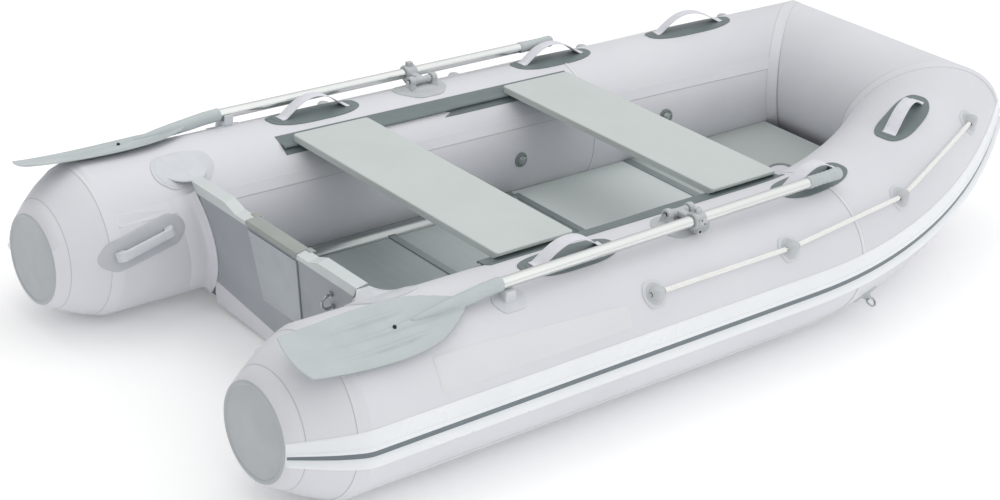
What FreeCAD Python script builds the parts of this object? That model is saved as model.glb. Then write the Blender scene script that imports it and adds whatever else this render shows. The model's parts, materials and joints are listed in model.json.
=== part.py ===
"""Inflatable motor boat: a three-chambered dinghy with a plywood transom, an aluminium floor,
two thwarts that slide on rails, and a pair of oars stowed along the side tubes.

Millimetres. +X is the bow, +Y is port, +Z is up. The port half is drawn and mirrored.
"""
import FreeCAD, Part
import os
from math import sin, cos, asin, atan, atan2, sqrt, radians, degrees

vec = FreeCAD.Vector

# ---- driving dimensions: tubes
tube_radius = 222.0
tube_spacing = 1120.0          # between the side tubes' centre lines
half_spacing, tube_top_z = tube_spacing / 2.0, 2.0 * tube_radius
sweep_start_x = 228.0          # where the side tubes begin to bend in to the bow
sweep_radius = 2050.0          # of the side tubes' centre line
sweep_angle = 30.8             # degrees
sweep_tilt = 26.0              # degrees, the bend's plane above the horizontal
cone_start_x = -1323.0         # where the stern cones begin
stern_x = -1500.0              # flat end of the cones
cone_end_radius = tube_radius - 91.0
cone_end_in = 20.0             # the cone's end leans inboard and down by these
cone_end_down = 14.0
cap_radius = cone_end_radius - 7.0
cap_thickness = 4.0
piece_gap = 0.4                # between a tube's skin and what is glued to it

# ---- rub strake
strake_low_deg, strake_bumper_deg, strake_stripe_deg, strake_high_deg = -11.4, -2.4, 3.4, 14.4
strake_band = 3.0              # thickness of the flat band
strake_bumper = 13.0           # how far the rounded bumper stands out

# ---- transom
transom_top_x = -1093.0        # aft face, at the height of its top edge
transom_top_z = tube_top_z - 36.0
transom_rake = 0.2             # run over rise
transom_thickness = 30.0
transom_half_top = half_spacing - 181.0
transom_edge_gap = 15.0        # least distance from the tubes
transom_foot_half, transom_foot_z, transom_keel_z = half_spacing - 202.0, 79.0, 27.0
notch_half_top, notch_half_foot, notch_depth = 217.0, 170.0, 18.0
trim_thickness, trim_drop = 5.0, 10.0
outer_plate = (112.0, 89.0, 372.0, 158.0, 4.0)       # half widths, heights, thickness
inner_plate = (128.0, 128.0, 371.0, 215.0, 8.0)
bolt_wire, bolt_half, bolt_reach, bolt_y, bolt_z = 4.0, 19.0, 34.0, -260.0, 321.0

# ---- bottom
skin_thickness = 4.0
skin_edge_half, skin_edge_z, skin_keel_z = half_spacing - 123.0, 31.0, 5.5
keel_strip_width, keel_strip_height = 50.0, 5.0
keel_strip_from_x, keel_strip_to_x = -1008.0, 1040.0
rise_start_x = 250.0           # the floor and the bottom begin to rise here
rise_radius = 2860.0

# ---- floor
floor_top_z = 120.0
panel_thickness = 10.0
floor_half_width = half_spacing - 199.0
floor_aft_x, floor_end_x = -989.0, 1050.0
floor_joints_x = (-449.0, 78.0, 560.0)
profile_width, profile_flange, profile_inset = 26.0, 2.5, 24.0
stringer_half_width, stringer_height, stringer_half_y = 24.0, 16.0, 316.0

# ---- thwarts and their rails
thwart_length, thwart_width, thwart_thickness = tube_spacing - 196.0, 271.0, 20.0
thwart_top_z = tube_top_z
thwart_corner = 12.0
thwart_bevel = (14.0, 10.0)    # in and up, under the ends
aft_thwart_x, forward_thwart_x = -570.0, 232.0
rail_aft_x, rail_fore_x = -748.0, 392.0
rail_flap, rail_bead = 3.0, 4.6
rail_inner_half = half_spacing - 123.0
rail_slide_gap = 0.5

# ---- oars and rowlocks
pin_x, pin_y, pin_z = -148.0, half_spacing + 5.0, tube_top_z + 30.0
pin_radius, pin_play = 6.0, 0.06
lug_radius, lug_thickness, lug_spacing = 17.0, 20.0, 84.0
oar_y, oar_z = half_spacing + 72.0, tube_top_z + 32.0
shaft_radius = 16.0
shaft_aft_x, shaft_fore_x, grip_end_x = -849.0, 308.0, 442.0
grip_radius = 18.5
oar_rise, oar_toe = 0.55, 0.45  # degrees: the grip is a little high and a little inboard
collar_outer, collar_length, collar_play = 25.0, 42.0, 0.1
blade_tip_x, blade_tilt = -1476.0, 17.0
blade_thickness = 5.0
blade_tip_drop, blade_spoon = 17.0, 18.5
blade_half_widths = ((0.215, 15.0), (0.28, 52.0), (0.38, 80.0), (0.54, 93.0), (0.72, 90.0), (0.88, 82.0),
                     (1.0, 73.0))      # at shares of the blade's length
blade_spine_radii = ((0.0, 19.0), (0.17, 18.0), (0.32, 13.0), (0.55, 8.0), (0.85, 3.2))
clip_x, clip_width, clip_play = -824.0, 36.0, 1.5

# ---- soft fittings: place along the centre line, angle round the tube
patch_thickness = 2.4
handle_places = (-556.0, 400.0, 968.0)
handle_angles = (87.0, 86.0, 84.0)
handle_patch = (160.0, 56.0)   # half length, half width
strap_half, strap_height, strap_width, strap_thickness = 112.0, 50.0, 34.0, 3.5
eye_places = (-388.0, 136.0, 648.0, 1170.0)
eye_angle, eye_radius, eye_height = 38.5, 17.0, 21.0
line_radius, line_height = 6.0, 10.0
stern_handle = (-1268.0, 165.0, 13.0)      # place, angle, slant in degrees
stern_patch = (134.0, 46.0)
stern_bar = (93.0, 24.0, 11.0, 34.0)       # half length, width, thickness, height
bow_ring = (520.0, -37.0, 15.0, 3.5)       # place, angle, ring radius, wire radius
valve_places = ((90.0, 176.0, 1), (738.0, 170.0, 1), (90.0, 176.0, -1))
valve_radius, valve_height = 24.0, 7.0

strake_front = strake_band + strake_bumper


# ---------------------------------------------------------------- small helpers
def mirrored(shape):
    """The starboard twin of a port shape."""
    return shape.mirror(vec(0, 0, 0), vec(0, 1, 0))


def on_sides(shape):
    return Part.makeCompound([shape, mirrored(shape)])


def outline(points):
    """A face from 3-D points; a nested triple is the middle of an arc to the next point."""
    edges, here, via = [], points[0], None
    for point in points[1:] + [points[0]]:
        if isinstance(point, tuple):
            via = point[0]
            continue
        if via is None:
            if here.distanceToPoint(point) > 1e-6:
                edges.append(Part.LineSegment(here, point).toShape())
        else:
            edges.append(Part.Arc(here, via, point).toShape())
        here, via = point, None
    return Part.Face(Part.Wire(Part.__sortEdges__(edges)))


def largest(shape):
    return max(shape.Solids, key=lambda solid: solid.Volume)


def half_space(point, normal):
    """A block with one face on a plane, on the side that the normal points to."""
    size = 4000.0
    block = Part.makeBox(size, size, size, vec(-size / 2, -size / 2, 0))
    block.Placement = FreeCAD.Placement(point, FreeCAD.Rotation(vec(0, 0, 1), normal))
    return block


def disc(centre, axis, radius, length):
    """A cylinder that is centred on a point of its axis."""
    axis = vec(axis).normalize()
    return Part.makeCylinder(radius, length, centre - axis * (length / 2), axis)


def rounded(shape, radius, chosen):
    """Fillets the edges that the test chooses."""
    return shape.makeFillet(radius, [edge for edge in shape.Edges if chosen(edge)])


# ---------------------------------------------------------------- the side tube's centre line
tilt = radians(sweep_tilt)
ahead = vec(1, 0, 0)
inboard = vec(0, -cos(tilt), sin(tilt))
sweep_axis = ahead.cross(inboard)
sweep_from = vec(sweep_start_x, half_spacing, tube_radius)
sweep_centre = sweep_from + inboard * sweep_radius
sweep_length = sweep_radius * radians(sweep_angle)


def turned(direction, angle):
    return FreeCAD.Rotation(sweep_axis, degrees(angle)).multVec(direction)


def station(place):
    """Centre, heading, outboard and up on the port tube. Up to the bend the place is X, and
    past its start it is the length along the bend."""
    angle = max(0.0, (place - sweep_start_x) / sweep_radius)
    if angle == 0.0:
        return vec(place, half_spacing, tube_radius), ahead, vec(0, 1, 0), vec(0, 0, 1)
    centre = sweep_centre - turned(inboard, angle) * sweep_radius
    return centre, turned(ahead, angle), turned(vec(0, 1, 0), angle), turned(vec(0, 0, 1), angle)


def around(place, angle_deg):
    """Centre of the tube, heading, and the direction out of its skin at an angle above outboard."""
    centre, heading, out, up = station(place)
    angle = radians(angle_deg)
    return centre, heading, out * cos(angle) + up * sin(angle)


mitre_point, mitre_heading, mitre_out, mitre_up = station(sweep_start_x + sweep_length)
across = vec(0, -1, 0)
mitre_normal = (mitre_heading + across).normalize()
bow_x, bow_z = mitre_point.x, mitre_point.z


def reflected(direction):
    return direction - mitre_normal * (2 * direction.dot(mitre_normal))


bow_out, bow_up = reflected(mitre_out), reflected(mitre_up)


def section_point(radius, angle_deg):
    """On the tube's section at the start of the bend."""
    angle = radians(angle_deg)
    return sweep_from + vec(0, radius * cos(angle), radius * sin(angle))


def bow_point(radius, angle_deg):
    """The same point carried round the mitre, on the bow tube's section at the middle."""
    angle = radians(angle_deg)
    return vec(bow_x, 0, bow_z) + bow_out * (radius * cos(angle)) + bow_up * (radius * sin(angle))


def ring_sector(point_at, inner, outer, low_deg, high_deg):
    middle = (low_deg + high_deg) / 2
    return outline([point_at(outer, low_deg), (point_at(outer, middle),), point_at(outer, high_deg),
                    point_at(inner, high_deg), (point_at(inner, middle),), point_at(inner, low_deg)])


def run(face, from_x, to_place=None):
    """Carries a face at the start of the bend along the tube, from an X to a place or the mitre."""
    angle = sweep_angle + 6.0
    if to_place is not None:
        angle = degrees((to_place - sweep_start_x) / sweep_radius)
    straight = face.extrude(vec(from_x - sweep_start_x, 0, 0))
    bend = face.revolve(sweep_centre, sweep_axis, angle)
    shape = straight.fuse(bend).removeSplitter()
    if to_place is None:
        shape = shape.cut(half_space(mitre_point, mitre_normal))
    return shape.Solids[0]


def bow_run(face):
    """Carries a face at the middle of the bow to both mitres."""
    reach = mitre_point.y + tube_radius
    shape = face.extrude(vec(0, reach, 0)).fuse(face.extrude(vec(0, -reach, 0))).removeSplitter()
    behind = half_space(mitre_point, mitre_normal * -1)
    return shape.cut(behind).cut(mirrored(behind)).Solids[0]


def disc_face(point_at, radius, axis):
    return Part.Face(Part.Wire(Part.makeCircle(radius, point_at(0, 0), axis)))


# ---------------------------------------------------------------- tubes
cone_rings = ((0.0, tube_radius), (0.30, tube_radius - 6), (0.68, tube_radius - 42), (1.0, cone_end_radius))


def cone_centre(share):
    return vec(cone_start_x + (stern_x - cone_start_x) * share,
               half_spacing - cone_end_in * share ** 2, tube_radius - cone_end_down * share ** 2)


def stern_cone():
    """The tapered end, which leans in and down to the flat cap."""
    rings = [Part.Wire(Part.makeCircle(radius, cone_centre(share), ahead)) for share, radius in cone_rings]
    return Part.makeLoft(rings, True, True)


def port_tube():
    side = run(disc_face(section_point, tube_radius, ahead), cone_start_x)
    return side.fuse(stern_cone()).Solids[0]


def bow_tube():
    return bow_run(disc_face(bow_point, tube_radius, across))


def end_caps():
    centre = vec(stern_x, half_spacing - cone_end_in, tube_radius - cone_end_down)
    return on_sides(Part.makeCylinder(cap_radius, cap_thickness, centre, ahead * -1))


def strake_face(point_at):
    """A flat band above, a groove for the stripe, and a round bumper below."""
    inner = tube_radius + piece_gap
    outer = inner + strake_band
    middle = (strake_low_deg + strake_bumper_deg) / 2
    band = (strake_stripe_deg + strake_high_deg) / 2
    body = (strake_low_deg + strake_high_deg) / 2
    return outline([point_at(inner, strake_low_deg), point_at(outer, strake_low_deg),
                    (point_at(inner + strake_front, middle),), point_at(outer, strake_bumper_deg),
                    point_at(outer, strake_stripe_deg), (point_at(outer, band),),
                    point_at(outer, strake_high_deg), point_at(inner, strake_high_deg),
                    (point_at(inner, body),)])


def side_strake():
    """Along the tube, and in over the cone to the cap."""
    sections = []
    for share, radius in cone_rings:
        def on_cone(reach, angle_deg):
            angle = radians(angle_deg)
            reach += radius - tube_radius
            return cone_centre(share) + vec(0, reach * cos(angle), reach * sin(angle))
        sections.append(strake_face(on_cone).OuterWire)
    tail = Part.makeLoft(sections, True, True)
    return run(strake_face(section_point), cone_start_x).fuse(tail).Solids[0]


# ---------------------------------------------------------------- transom
rake_angle = atan(transom_rake)
transom_normal = vec(cos(rake_angle), 0, sin(rake_angle))      # into the boat


def on_transom(y, z, depth=0.0):
    """A point of the aft face at a height, or a depth in front of it."""
    return vec(transom_top_x + (transom_top_z - z) * transom_rake, y, z) + transom_normal * depth


def transom_outline(depth, grow=0.0):
    edge = tube_radius + transom_edge_gap - grow
    waist = vec(0, half_spacing - edge, tube_radius)
    shoulder_z, notch_z = transom_top_z + grow, transom_top_z + grow - notch_depth
    top, foot = transom_half_top + grow, transom_foot_half + grow
    port = [(top, shoulder_z), (notch_half_top, shoulder_z), (notch_half_foot, notch_z)]
    points = [on_transom(y, z, depth) for y, z in port]
    points += [on_transom(-y, z, depth) for y, z in reversed(port)]
    points += [(on_transom(-waist.y, waist.z, depth),), on_transom(-foot, transom_foot_z, depth),
               on_transom(0, transom_keel_z - grow, depth), on_transom(foot, transom_foot_z, depth),
               (on_transom(waist.y, waist.z, depth),)]
    return outline(points)


def transom_board():
    return transom_outline(0).extrude(transom_normal * transom_thickness)


def transom_trim():
    """A U section over the board's top edge."""
    foot_z = transom_top_z - notch_depth - trim_drop
    face = transom_outline(-trim_thickness / 2, trim_thickness)
    cover = face.extrude(transom_normal * (transom_thickness + trim_thickness))
    gap = transom_outline(-0.3, 0.3).extrude(transom_normal * (transom_thickness + 0.6))
    trim = cover.common(half_space(vec(0, 0, foot_z), vec(0, 0, 1))).cut(gap)
    half = outer_plate[0] + 2.0
    plate_room = Part.makeBox(60, 2 * half, transom_top_z - foot_z,
                              vec(transom_top_x - 50, -half, foot_z - 20))
    plate_room = plate_room.cut(half_space(on_transom(0, transom_top_z), transom_normal))
    return largest(trim.cut(plate_room))


def motor_plate(sizes, depth):
    top_half, foot_half, top_z, foot_z, thickness = sizes
    points = [on_transom(top_half, top_z, depth), on_transom(-top_half, top_z, depth),
              on_transom(-foot_half, foot_z, depth), on_transom(foot_half, foot_z, depth)]
    return outline(points).extrude(transom_normal * thickness)


def transom_gussets():
    """Fabric coves that seal the board's sides to the tubes."""
    inner, outer = tube_radius + piece_gap, tube_radius + transom_edge_gap - 1.0
    cove = ring_sector(section_point, inner, outer, 138.0, 226.0)
    cove.translate(vec(transom_top_x - 60 - sweep_start_x, 0, 0))
    cove = cove.extrude(vec(220, 0, 0))
    cove = cove.cut(half_space(on_transom(0, 0, transom_thickness + 10), transom_normal))
    cove = cove.cut(half_space(on_transom(0, 0, -10), transom_normal * -1))
    return on_sides(cove.cut(transom_board()).Solids[0])


def transom_brackets():
    """A patch on each tube with a web that takes the board's top corner."""
    place, angle = -1076.0, 117.0
    patch = tube_patch(place, angle, [(-100, 10), (-70, 56), (20, 62), (88, 44), (100, -8),
                                      (60, -60), (-60, -66), (-98, -30)])
    centre, heading, out = around(place, angle)
    skin = centre + out * (tube_radius + piece_gap + patch_thickness + 0.3)
    corner = on_transom(transom_half_top + trim_thickness + 2.0, transom_top_z + 2.0)
    web = outline([skin + heading * -62 + vec(0, -4, -8), skin + heading * 62 + vec(0, -4, -8),
                   corner + vec(34, 0, 0), corner + vec(-8, 0, 0)])
    web = web.extrude(vec(0, 0, 4))
    keep_out = run(disc_face(section_point, tube_radius + piece_gap + patch_thickness - 0.2, ahead),
                   cone_start_x, sweep_start_x + 10)
    web = web.cut(keep_out)
    return on_sides(patch.fuse(web).Solids[0])


def transom_u_bolt():
    base = on_transom(bolt_y, bolt_z, -0.3)
    aft = transom_normal * -1
    up = vec(sin(rake_angle) * -1, 0, cos(rake_angle))
    reach = aft * (bolt_reach - bolt_half)
    arch = Part.Arc(base + up * bolt_half + reach, base + aft * bolt_reach, base - up * bolt_half + reach)
    path = Part.Wire([Part.LineSegment(base + up * bolt_half, base + up * bolt_half + reach).toShape(),
                      arch.toShape(),
                      Part.LineSegment(base - up * bolt_half + reach, base - up * bolt_half).toShape()])
    section = Part.Wire(Part.makeCircle(bolt_wire, base + up * bolt_half, aft))
    bolt = path.makePipeShell([section], True, True)
    for side in (1, -1):
        bolt = bolt.fuse(Part.makeCylinder(bolt_wire * 2.2, 6.0, base + up * (bolt_half * side), aft))
    return bolt.Solids[0]


# ---------------------------------------------------------------- bottom and floor
def risen(x):
    """How far the floor has risen towards the bow."""
    run_in = max(0.0, x - rise_start_x)
    return rise_radius - sqrt(rise_radius ** 2 - run_in ** 2)


def profile_slab(low, high, from_x, to_x, half_width):
    """A slab of constant section along the floor line: flat, then curving up."""
    def corner(x, z):
        return vec(x, -half_width, z + risen(x))
    points = [corner(from_x, low)]
    bend = max(from_x, rise_start_x)
    if to_x > bend:
        if bend > from_x:
            points.append(corner(bend, low))
        points += [(corner((bend + to_x) / 2, low),), corner(to_x, low), corner(to_x, high),
                   (corner((bend + to_x) / 2, high),)]
        points.append(corner(bend, high))
        if bend > from_x:
            points.append(corner(from_x, high))
    else:
        points += [corner(to_x, low), corner(to_x, high), corner(from_x, high)]
    return outline(points).extrude(vec(0, 2 * half_width, 0))


def tube_room(gap):
    """The side tubes and the bow tube, grown by a gap, to cut what lies between them."""
    grown = tube_radius + gap
    side = run(disc_face(section_point, grown, ahead), cone_start_x)
    return [side, mirrored(side), bow_run(disc_face(bow_point, grown, across))]


def bottom_skin(room):
    """A shallow V between the tubes, which rises to the bow."""
    sections = []
    for x in (-1012.0, -400.0, sweep_start_x, 480.0, 730.0, 960.0, 1090.0, 1180.0):
        bend = asin(max(0.0, (x - sweep_start_x) / sweep_radius))
        centre = station(sweep_start_x + sweep_radius * bend)[0] if bend else station(x)[0]
        lift = centre.z - tube_radius
        edge = centre.y - half_spacing + skin_edge_half
        low = [vec(x, edge, skin_edge_z + lift), vec(x, 0, skin_keel_z + risen(x)),
               vec(x, -edge, skin_edge_z + lift)]
        high = [point + vec(0, 0, skin_thickness) for point in reversed(low)]
        sections.append(Part.makePolygon(low + high + [low[0]]))
    skin = Part.makeLoft(sections, True, True)
    for tube in room:
        skin = skin.cut(tube)
    return largest(skin)


def keel_strip():
    return profile_slab(0.5, keel_strip_height, keel_strip_from_x, keel_strip_to_x, keel_strip_width / 2)


def floor_panel(from_x, to_x, room):
    panel = profile_slab(floor_top_z - panel_thickness, floor_top_z, from_x, to_x, floor_half_width)
    for tube in room:
        panel = panel.cut(tube)
    return largest(panel)


def floor_panels(room):
    """Four panels; each stops short of the joint profiles between them."""
    edge = 1.0
    ends = (floor_aft_x,) + floor_joints_x + (floor_end_x,)
    names = ("aft_floor_panel", "second_floor_panel", "third_floor_panel", "bow_floor_panel")
    panels = {}
    for name, start, end in zip(names, ends[:-1], ends[1:]):
        start += 0.0 if start == floor_aft_x else edge
        end -= 0.0 if end == floor_end_x else edge
        panels[name] = floor_panel(start, end, room)
    return panels


def floor_profiles(room):
    """An H section across each joint of the panels: a flat bar over, one under and a web."""
    bars = []
    half = floor_half_width - profile_inset
    under = floor_top_z - panel_thickness
    for x in floor_joints_x:
        start, end = x - profile_width / 2, x + profile_width / 2
        top = profile_slab(floor_top_z + 0.6, floor_top_z + 0.6 + profile_flange, start, end, half)
        bottom = profile_slab(under - 0.6 - profile_flange, under - 0.6, start, end, half)
        web = profile_slab(under - 1.5, floor_top_z + 1.5, x - 0.6, x + 0.6, half)
        bar = top.fuse(bottom).fuse(web)
        for tube in room:
            bar = bar.cut(tube)
        bars.append(largest(bar))
    return Part.makeCompound(bars)


def floor_stringers():
    """Round-topped side profiles that clamp the flat panels' edges."""
    base = floor_top_z + 0.5
    start, end = floor_aft_x + 4.0, floor_joints_x[1] - profile_width
    radius = (stringer_half_width ** 2 + stringer_height ** 2) / (2 * stringer_height)
    bar = Part.makeCylinder(radius, end - start,
                            vec(start, stringer_half_y, base + stringer_height - radius), ahead)
    bar = bar.common(half_space(vec(0, 0, base), vec(0, 0, 1)))
    notch = Part.makeBox(profile_width + 2, 80, 5,
                         vec(floor_joints_x[0] - profile_width / 2 - 1, stringer_half_y - 40, floor_top_z))
    return on_sides(bar.cut(notch).Solids[0])


# ---------------------------------------------------------------- thwarts and rails
def thwart(x):
    """A board whose ends are bevelled underneath, where the tubes curve in."""
    half, foot = thwart_length / 2, thwart_top_z - thwart_thickness
    bevel_in, bevel_up = thwart_bevel
    aft = x - thwart_width / 2
    corners = [(half, thwart_top_z), (half, foot + bevel_up), (half - bevel_in, foot)]
    corners += [(-y, z) for y, z in reversed(corners)]
    board = outline([vec(aft, y, z) for y, z in corners]).extrude(vec(thwart_width, 0, 0))
    board = rounded(board, thwart_corner, lambda edge: abs(edge.tangentAt(edge.FirstParameter).z) > 0.99)
    return rounded(board, 4.0, lambda edge: edge.BoundBox.ZMin > thwart_top_z - 0.1)


def seat_rails():
    """A glued flap with a bead along its inner edge, on which a thwart's ends slide."""
    top = thwart_top_z - thwart_thickness - rail_slide_gap
    skin = tube_radius + piece_gap

    def skin_y(z):
        return half_spacing - sqrt(skin ** 2 - (z - tube_radius) ** 2)
    x = rail_aft_x
    foot = top - rail_flap
    flap = outline([vec(x, skin_y(top), top), vec(x, rail_inner_half, top),
                    vec(x, rail_inner_half, foot), vec(x, skin_y(foot), foot)])
    flap = flap.extrude(vec(rail_fore_x - rail_aft_x, 0, 0))
    bead = Part.makeCylinder(rail_bead, rail_fore_x - rail_aft_x,
                             vec(x, rail_inner_half, top - rail_bead), ahead)
    low = degrees(atan2(foot - tube_radius, skin_y(foot) - half_spacing)) + 0.1
    strip = ring_sector(section_point, skin, skin + patch_thickness, low, low + 11.0)
    strip.translate(vec(x - sweep_start_x, 0, 0))
    strip = strip.extrude(vec(rail_fore_x - rail_aft_x, 0, 0))
    rail = flap.fuse(bead).fuse(strip)
    grown = run(disc_face(section_point, skin, ahead), cone_start_x, rail_fore_x + 60)
    return on_sides(rail.cut(grown).Solids[0])


# ---------------------------------------------------------------- patches on the tubes
def local(place, angle_deg, u, v, height, slant=0.0):
    """A point beside a spot on the tube: u ahead, v round towards the boat's top, out by height."""
    centre, heading, out = around(place, angle_deg)
    side = out.cross(heading)
    turn = radians(slant)
    along = heading * cos(turn) + side * sin(turn)
    over = side * cos(turn) - heading * sin(turn)
    return centre + out * (tube_radius + height) + along * u + over * v


def tube_patch(place, angle_deg, points, slant=0.0, thickness=patch_thickness):
    """A glued patch: a shell round the tube, cut to an outline seen along the skin's normal."""
    centre, heading, out = around(place, angle_deg)
    base = [local(place, angle_deg, u, v, -60, slant) for u, v in points]
    prism = smooth_outline(base).extrude(out * 120)
    inner = tube_radius + piece_gap
    reach = 30.0
    half = max(abs(v) for u, v in points) + max(abs(u) for u, v in points) * abs(sin(radians(slant)))
    spread = degrees(half / tube_radius) + 14.0
    ring = ring_sector(section_point, inner, inner + thickness, angle_deg - spread, angle_deg + spread)
    long = max(abs(u) for u, v in points) + reach
    if place + long < sweep_start_x:
        ring.translate(vec(place - long - sweep_start_x, 0, 0))
        shell = ring.extrude(vec(2 * long, 0, 0))
    elif place - long > sweep_start_x:
        first = degrees((place - long - sweep_start_x) / sweep_radius)
        ring.rotate(sweep_centre, sweep_axis, first)
        shell = ring.revolve(sweep_centre, sweep_axis, degrees(2 * long / sweep_radius))
    else:
        shell = run(ring, place - long, place + long)
    return largest(shell.common(prism))


def smooth_outline(points):
    """A closed outline whose corners are rounded by arcs that start a third along each side."""
    edges, count = [], len(points)
    share = 0.38
    for index in range(count):
        before, here, after = points[index - 1], points[index], points[(index + 1) % count]
        start, end = here + (before - here) * share, here + (after - here) * share
        middle = (start + end) * 0.25 + here * 0.5
        edges.append(Part.Arc(start, middle, end).toShape())
        edges.append(Part.LineSegment(end, after + (here - after) * share).toShape())
    return Part.Face(Part.Wire(Part.__sortEdges__(edges)))


def handle_outline(half_length, half_width):
    inset = half_width * 0.75
    return [(-half_length, half_width * 0.2), (-half_length + inset, half_width),
            (half_length - inset, half_width), (half_length, half_width * 0.2),
            (half_length, -half_width * 0.2), (half_length - inset, -half_width),
            (-half_length + inset, -half_width), (-half_length, -half_width * 0.2)]


def handle_patches():
    patches = [tube_patch(place, angle, handle_outline(*handle_patch))
               for place, angle in zip(handle_places, handle_angles)]
    return Part.makeCompound(patches + [mirrored(patch) for patch in patches])


def handle_straps():
    """Webbing loops over the patches, one to a handle."""
    straps = []
    foot = piece_gap + patch_thickness + 0.5
    half = strap_width / 2
    for place, angle in zip(handle_places, handle_angles):
        def at(u, height, v=-half):
            return local(place, angle, u, v, height)
        inner = strap_half - strap_thickness * 1.6
        arch = outline([at(-strap_half, foot), (at(0, strap_height + strap_thickness),), at(strap_half, foot),
                        at(inner, foot), (at(0, strap_height),), at(-inner, foot)])
        side = at(0, 0, half) - at(0, 0, -half)
        strap = arch.extrude(side)
        straps.append(strap.cut(sagged_skin(place, foot)).Solids[0])
    return straps


def sagged_skin(place, height):
    """What lies under a height above the tube near a place, to trim feet to the tube."""
    grown = disc_face(section_point, tube_radius + height, ahead)
    return run(grown, min(place - 400, sweep_start_x - 1), max(place + 400, sweep_start_x + 1))


def stern_handles():
    """A patch with a moulded grab bar, on the inner side of each stern cone."""
    place, angle, slant = stern_handle
    patch = tube_patch(place, angle, handle_outline(*stern_patch), slant)
    half, width, thickness, height = stern_bar
    def at(u, out, v=-width / 2):
        return local(place, angle, u, v, out, slant)
    foot = piece_gap + patch_thickness - 1.0
    bar = outline([at(-half, foot), at(-half + 12, height), at(half - 12, height), at(half, foot),
                   at(half - 24, foot), at(half - 30, height - thickness), at(-half + 30, height - thickness),
                   at(-half + 24, foot)])
    bar = bar.extrude(at(0, 0, width / 2) - at(0, 0, -width / 2))
    skin = Part.makeCylinder(tube_radius + piece_gap, 700,
                             vec(place - 350, half_spacing, tube_radius), ahead)
    return on_sides(patch.fuse(bar.cut(skin)).Solids[0])


def rope_run(radius, from_x, to_place):
    centre = section_point(tube_radius + piece_gap + patch_thickness + line_height, eye_angle)
    return run(Part.Face(Part.Wire(Part.makeCircle(radius, centre, ahead))), from_x, to_place)


def lifeline():
    """A rope pulled tight through the eyes, along the outboard side."""
    return rope_run(line_radius, eye_places[0], eye_places[-1])


def lifeline_eyes():
    """A patch with a low dome that the rope runs through, at each place."""
    room = rope_run(line_radius + 0.5, eye_places[0] - 1, eye_places[-1] + 1)
    eyes = []
    for place in eye_places:
        patch = tube_patch(place, eye_angle, [(-34, 0), (-20, 28), (20, 28), (34, 0), (20, -28), (-20, -28)])
        centre, heading, out = around(place, eye_angle)
        base = centre + out * (tube_radius + piece_gap + 1.0)
        dome = Part.makeCone(eye_radius + 3, eye_radius - 5, eye_height, base, out)
        eyes.append(patch.fuse(dome).cut(room).Solids[0])
    return Part.makeCompound(eyes + [mirrored(eye) for eye in eyes])


def bow_tow_rings():
    place, angle, radius, wire = bow_ring
    patch = tube_patch(place, angle, [(-42, 0), (-26, 30), (26, 30), (42, 0), (26, -30), (-26, -30)])
    centre, heading, out = around(place, angle)
    side = out.cross(heading)
    base = centre + out * (tube_radius + piece_gap + 1.0)
    lug = disc(base + out * 6.0, out, 13.0, 12.0)
    ring = Part.makeTorus(radius, wire, base + out * (11.0 + radius), side)
    return on_sides(patch.fuse(lug).fuse(ring).Solids[0])


def inflation_valves():
    valves = []
    for place, angle, side in valve_places:
        centre, heading, out = around(place, angle)
        base = centre + out * (tube_radius + piece_gap)
        flange = Part.makeCylinder(valve_radius, valve_height, base - out * 1.0, out)
        room = run(disc_face(section_point, tube_radius + piece_gap, ahead),
                   min(place - 60, sweep_start_x - 1), max(place + 60, sweep_start_x + 1))
        cap = Part.makeCylinder(valve_radius * 0.62, 6.0, base + out * (valve_height - 1.5), out)
        valve = flange.fuse(cap).cut(room).Solids[0]
        valves.append(valve if side > 0 else mirrored(valve))
    return Part.makeCompound(valves)


# ---------------------------------------------------------------- rowlocks and oars
def oarlock_bases():
    patch = tube_patch(pin_x, 86.0, [(-94, 20), (-50, 62), (50, 62), (94, 20), (94, -20), (40, -66),
                                     (-40, -66), (-94, -20)])
    half = lug_spacing / 2 + lug_thickness / 2
    foot = tube_radius * 2 - 4.0
    edge = pin_y - lug_radius
    base = patch.fuse(Part.makeBox(2 * half, 2 * lug_radius, pin_z - 14.0 - foot,
                                   vec(pin_x - half, edge, foot)))
    for side in (-1, 1):
        x = pin_x + side * lug_spacing / 2
        lug = disc(vec(x, pin_y, pin_z), ahead, lug_radius, lug_thickness)
        cheek = Part.makeBox(lug_thickness, 2 * lug_radius, pin_z - foot,
                             vec(x - lug_thickness / 2, edge, foot))
        base = base.fuse(lug).fuse(cheek)
    base = base.cut(disc(vec(pin_x, pin_y, pin_z), ahead, pin_radius + pin_play, 4 * half))
    skin = Part.makeCylinder(tube_radius + piece_gap, 400, vec(pin_x - 200, half_spacing, tube_radius), ahead)
    return on_sides(base.cut(skin).removeSplitter().Solids[0])


def oarlock_pins():
    length = lug_spacing + lug_thickness + 4.0
    return on_sides(disc(vec(pin_x, pin_y, pin_z), ahead, pin_radius, length))


collar_centre = vec(pin_x, oar_y, oar_z)


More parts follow.
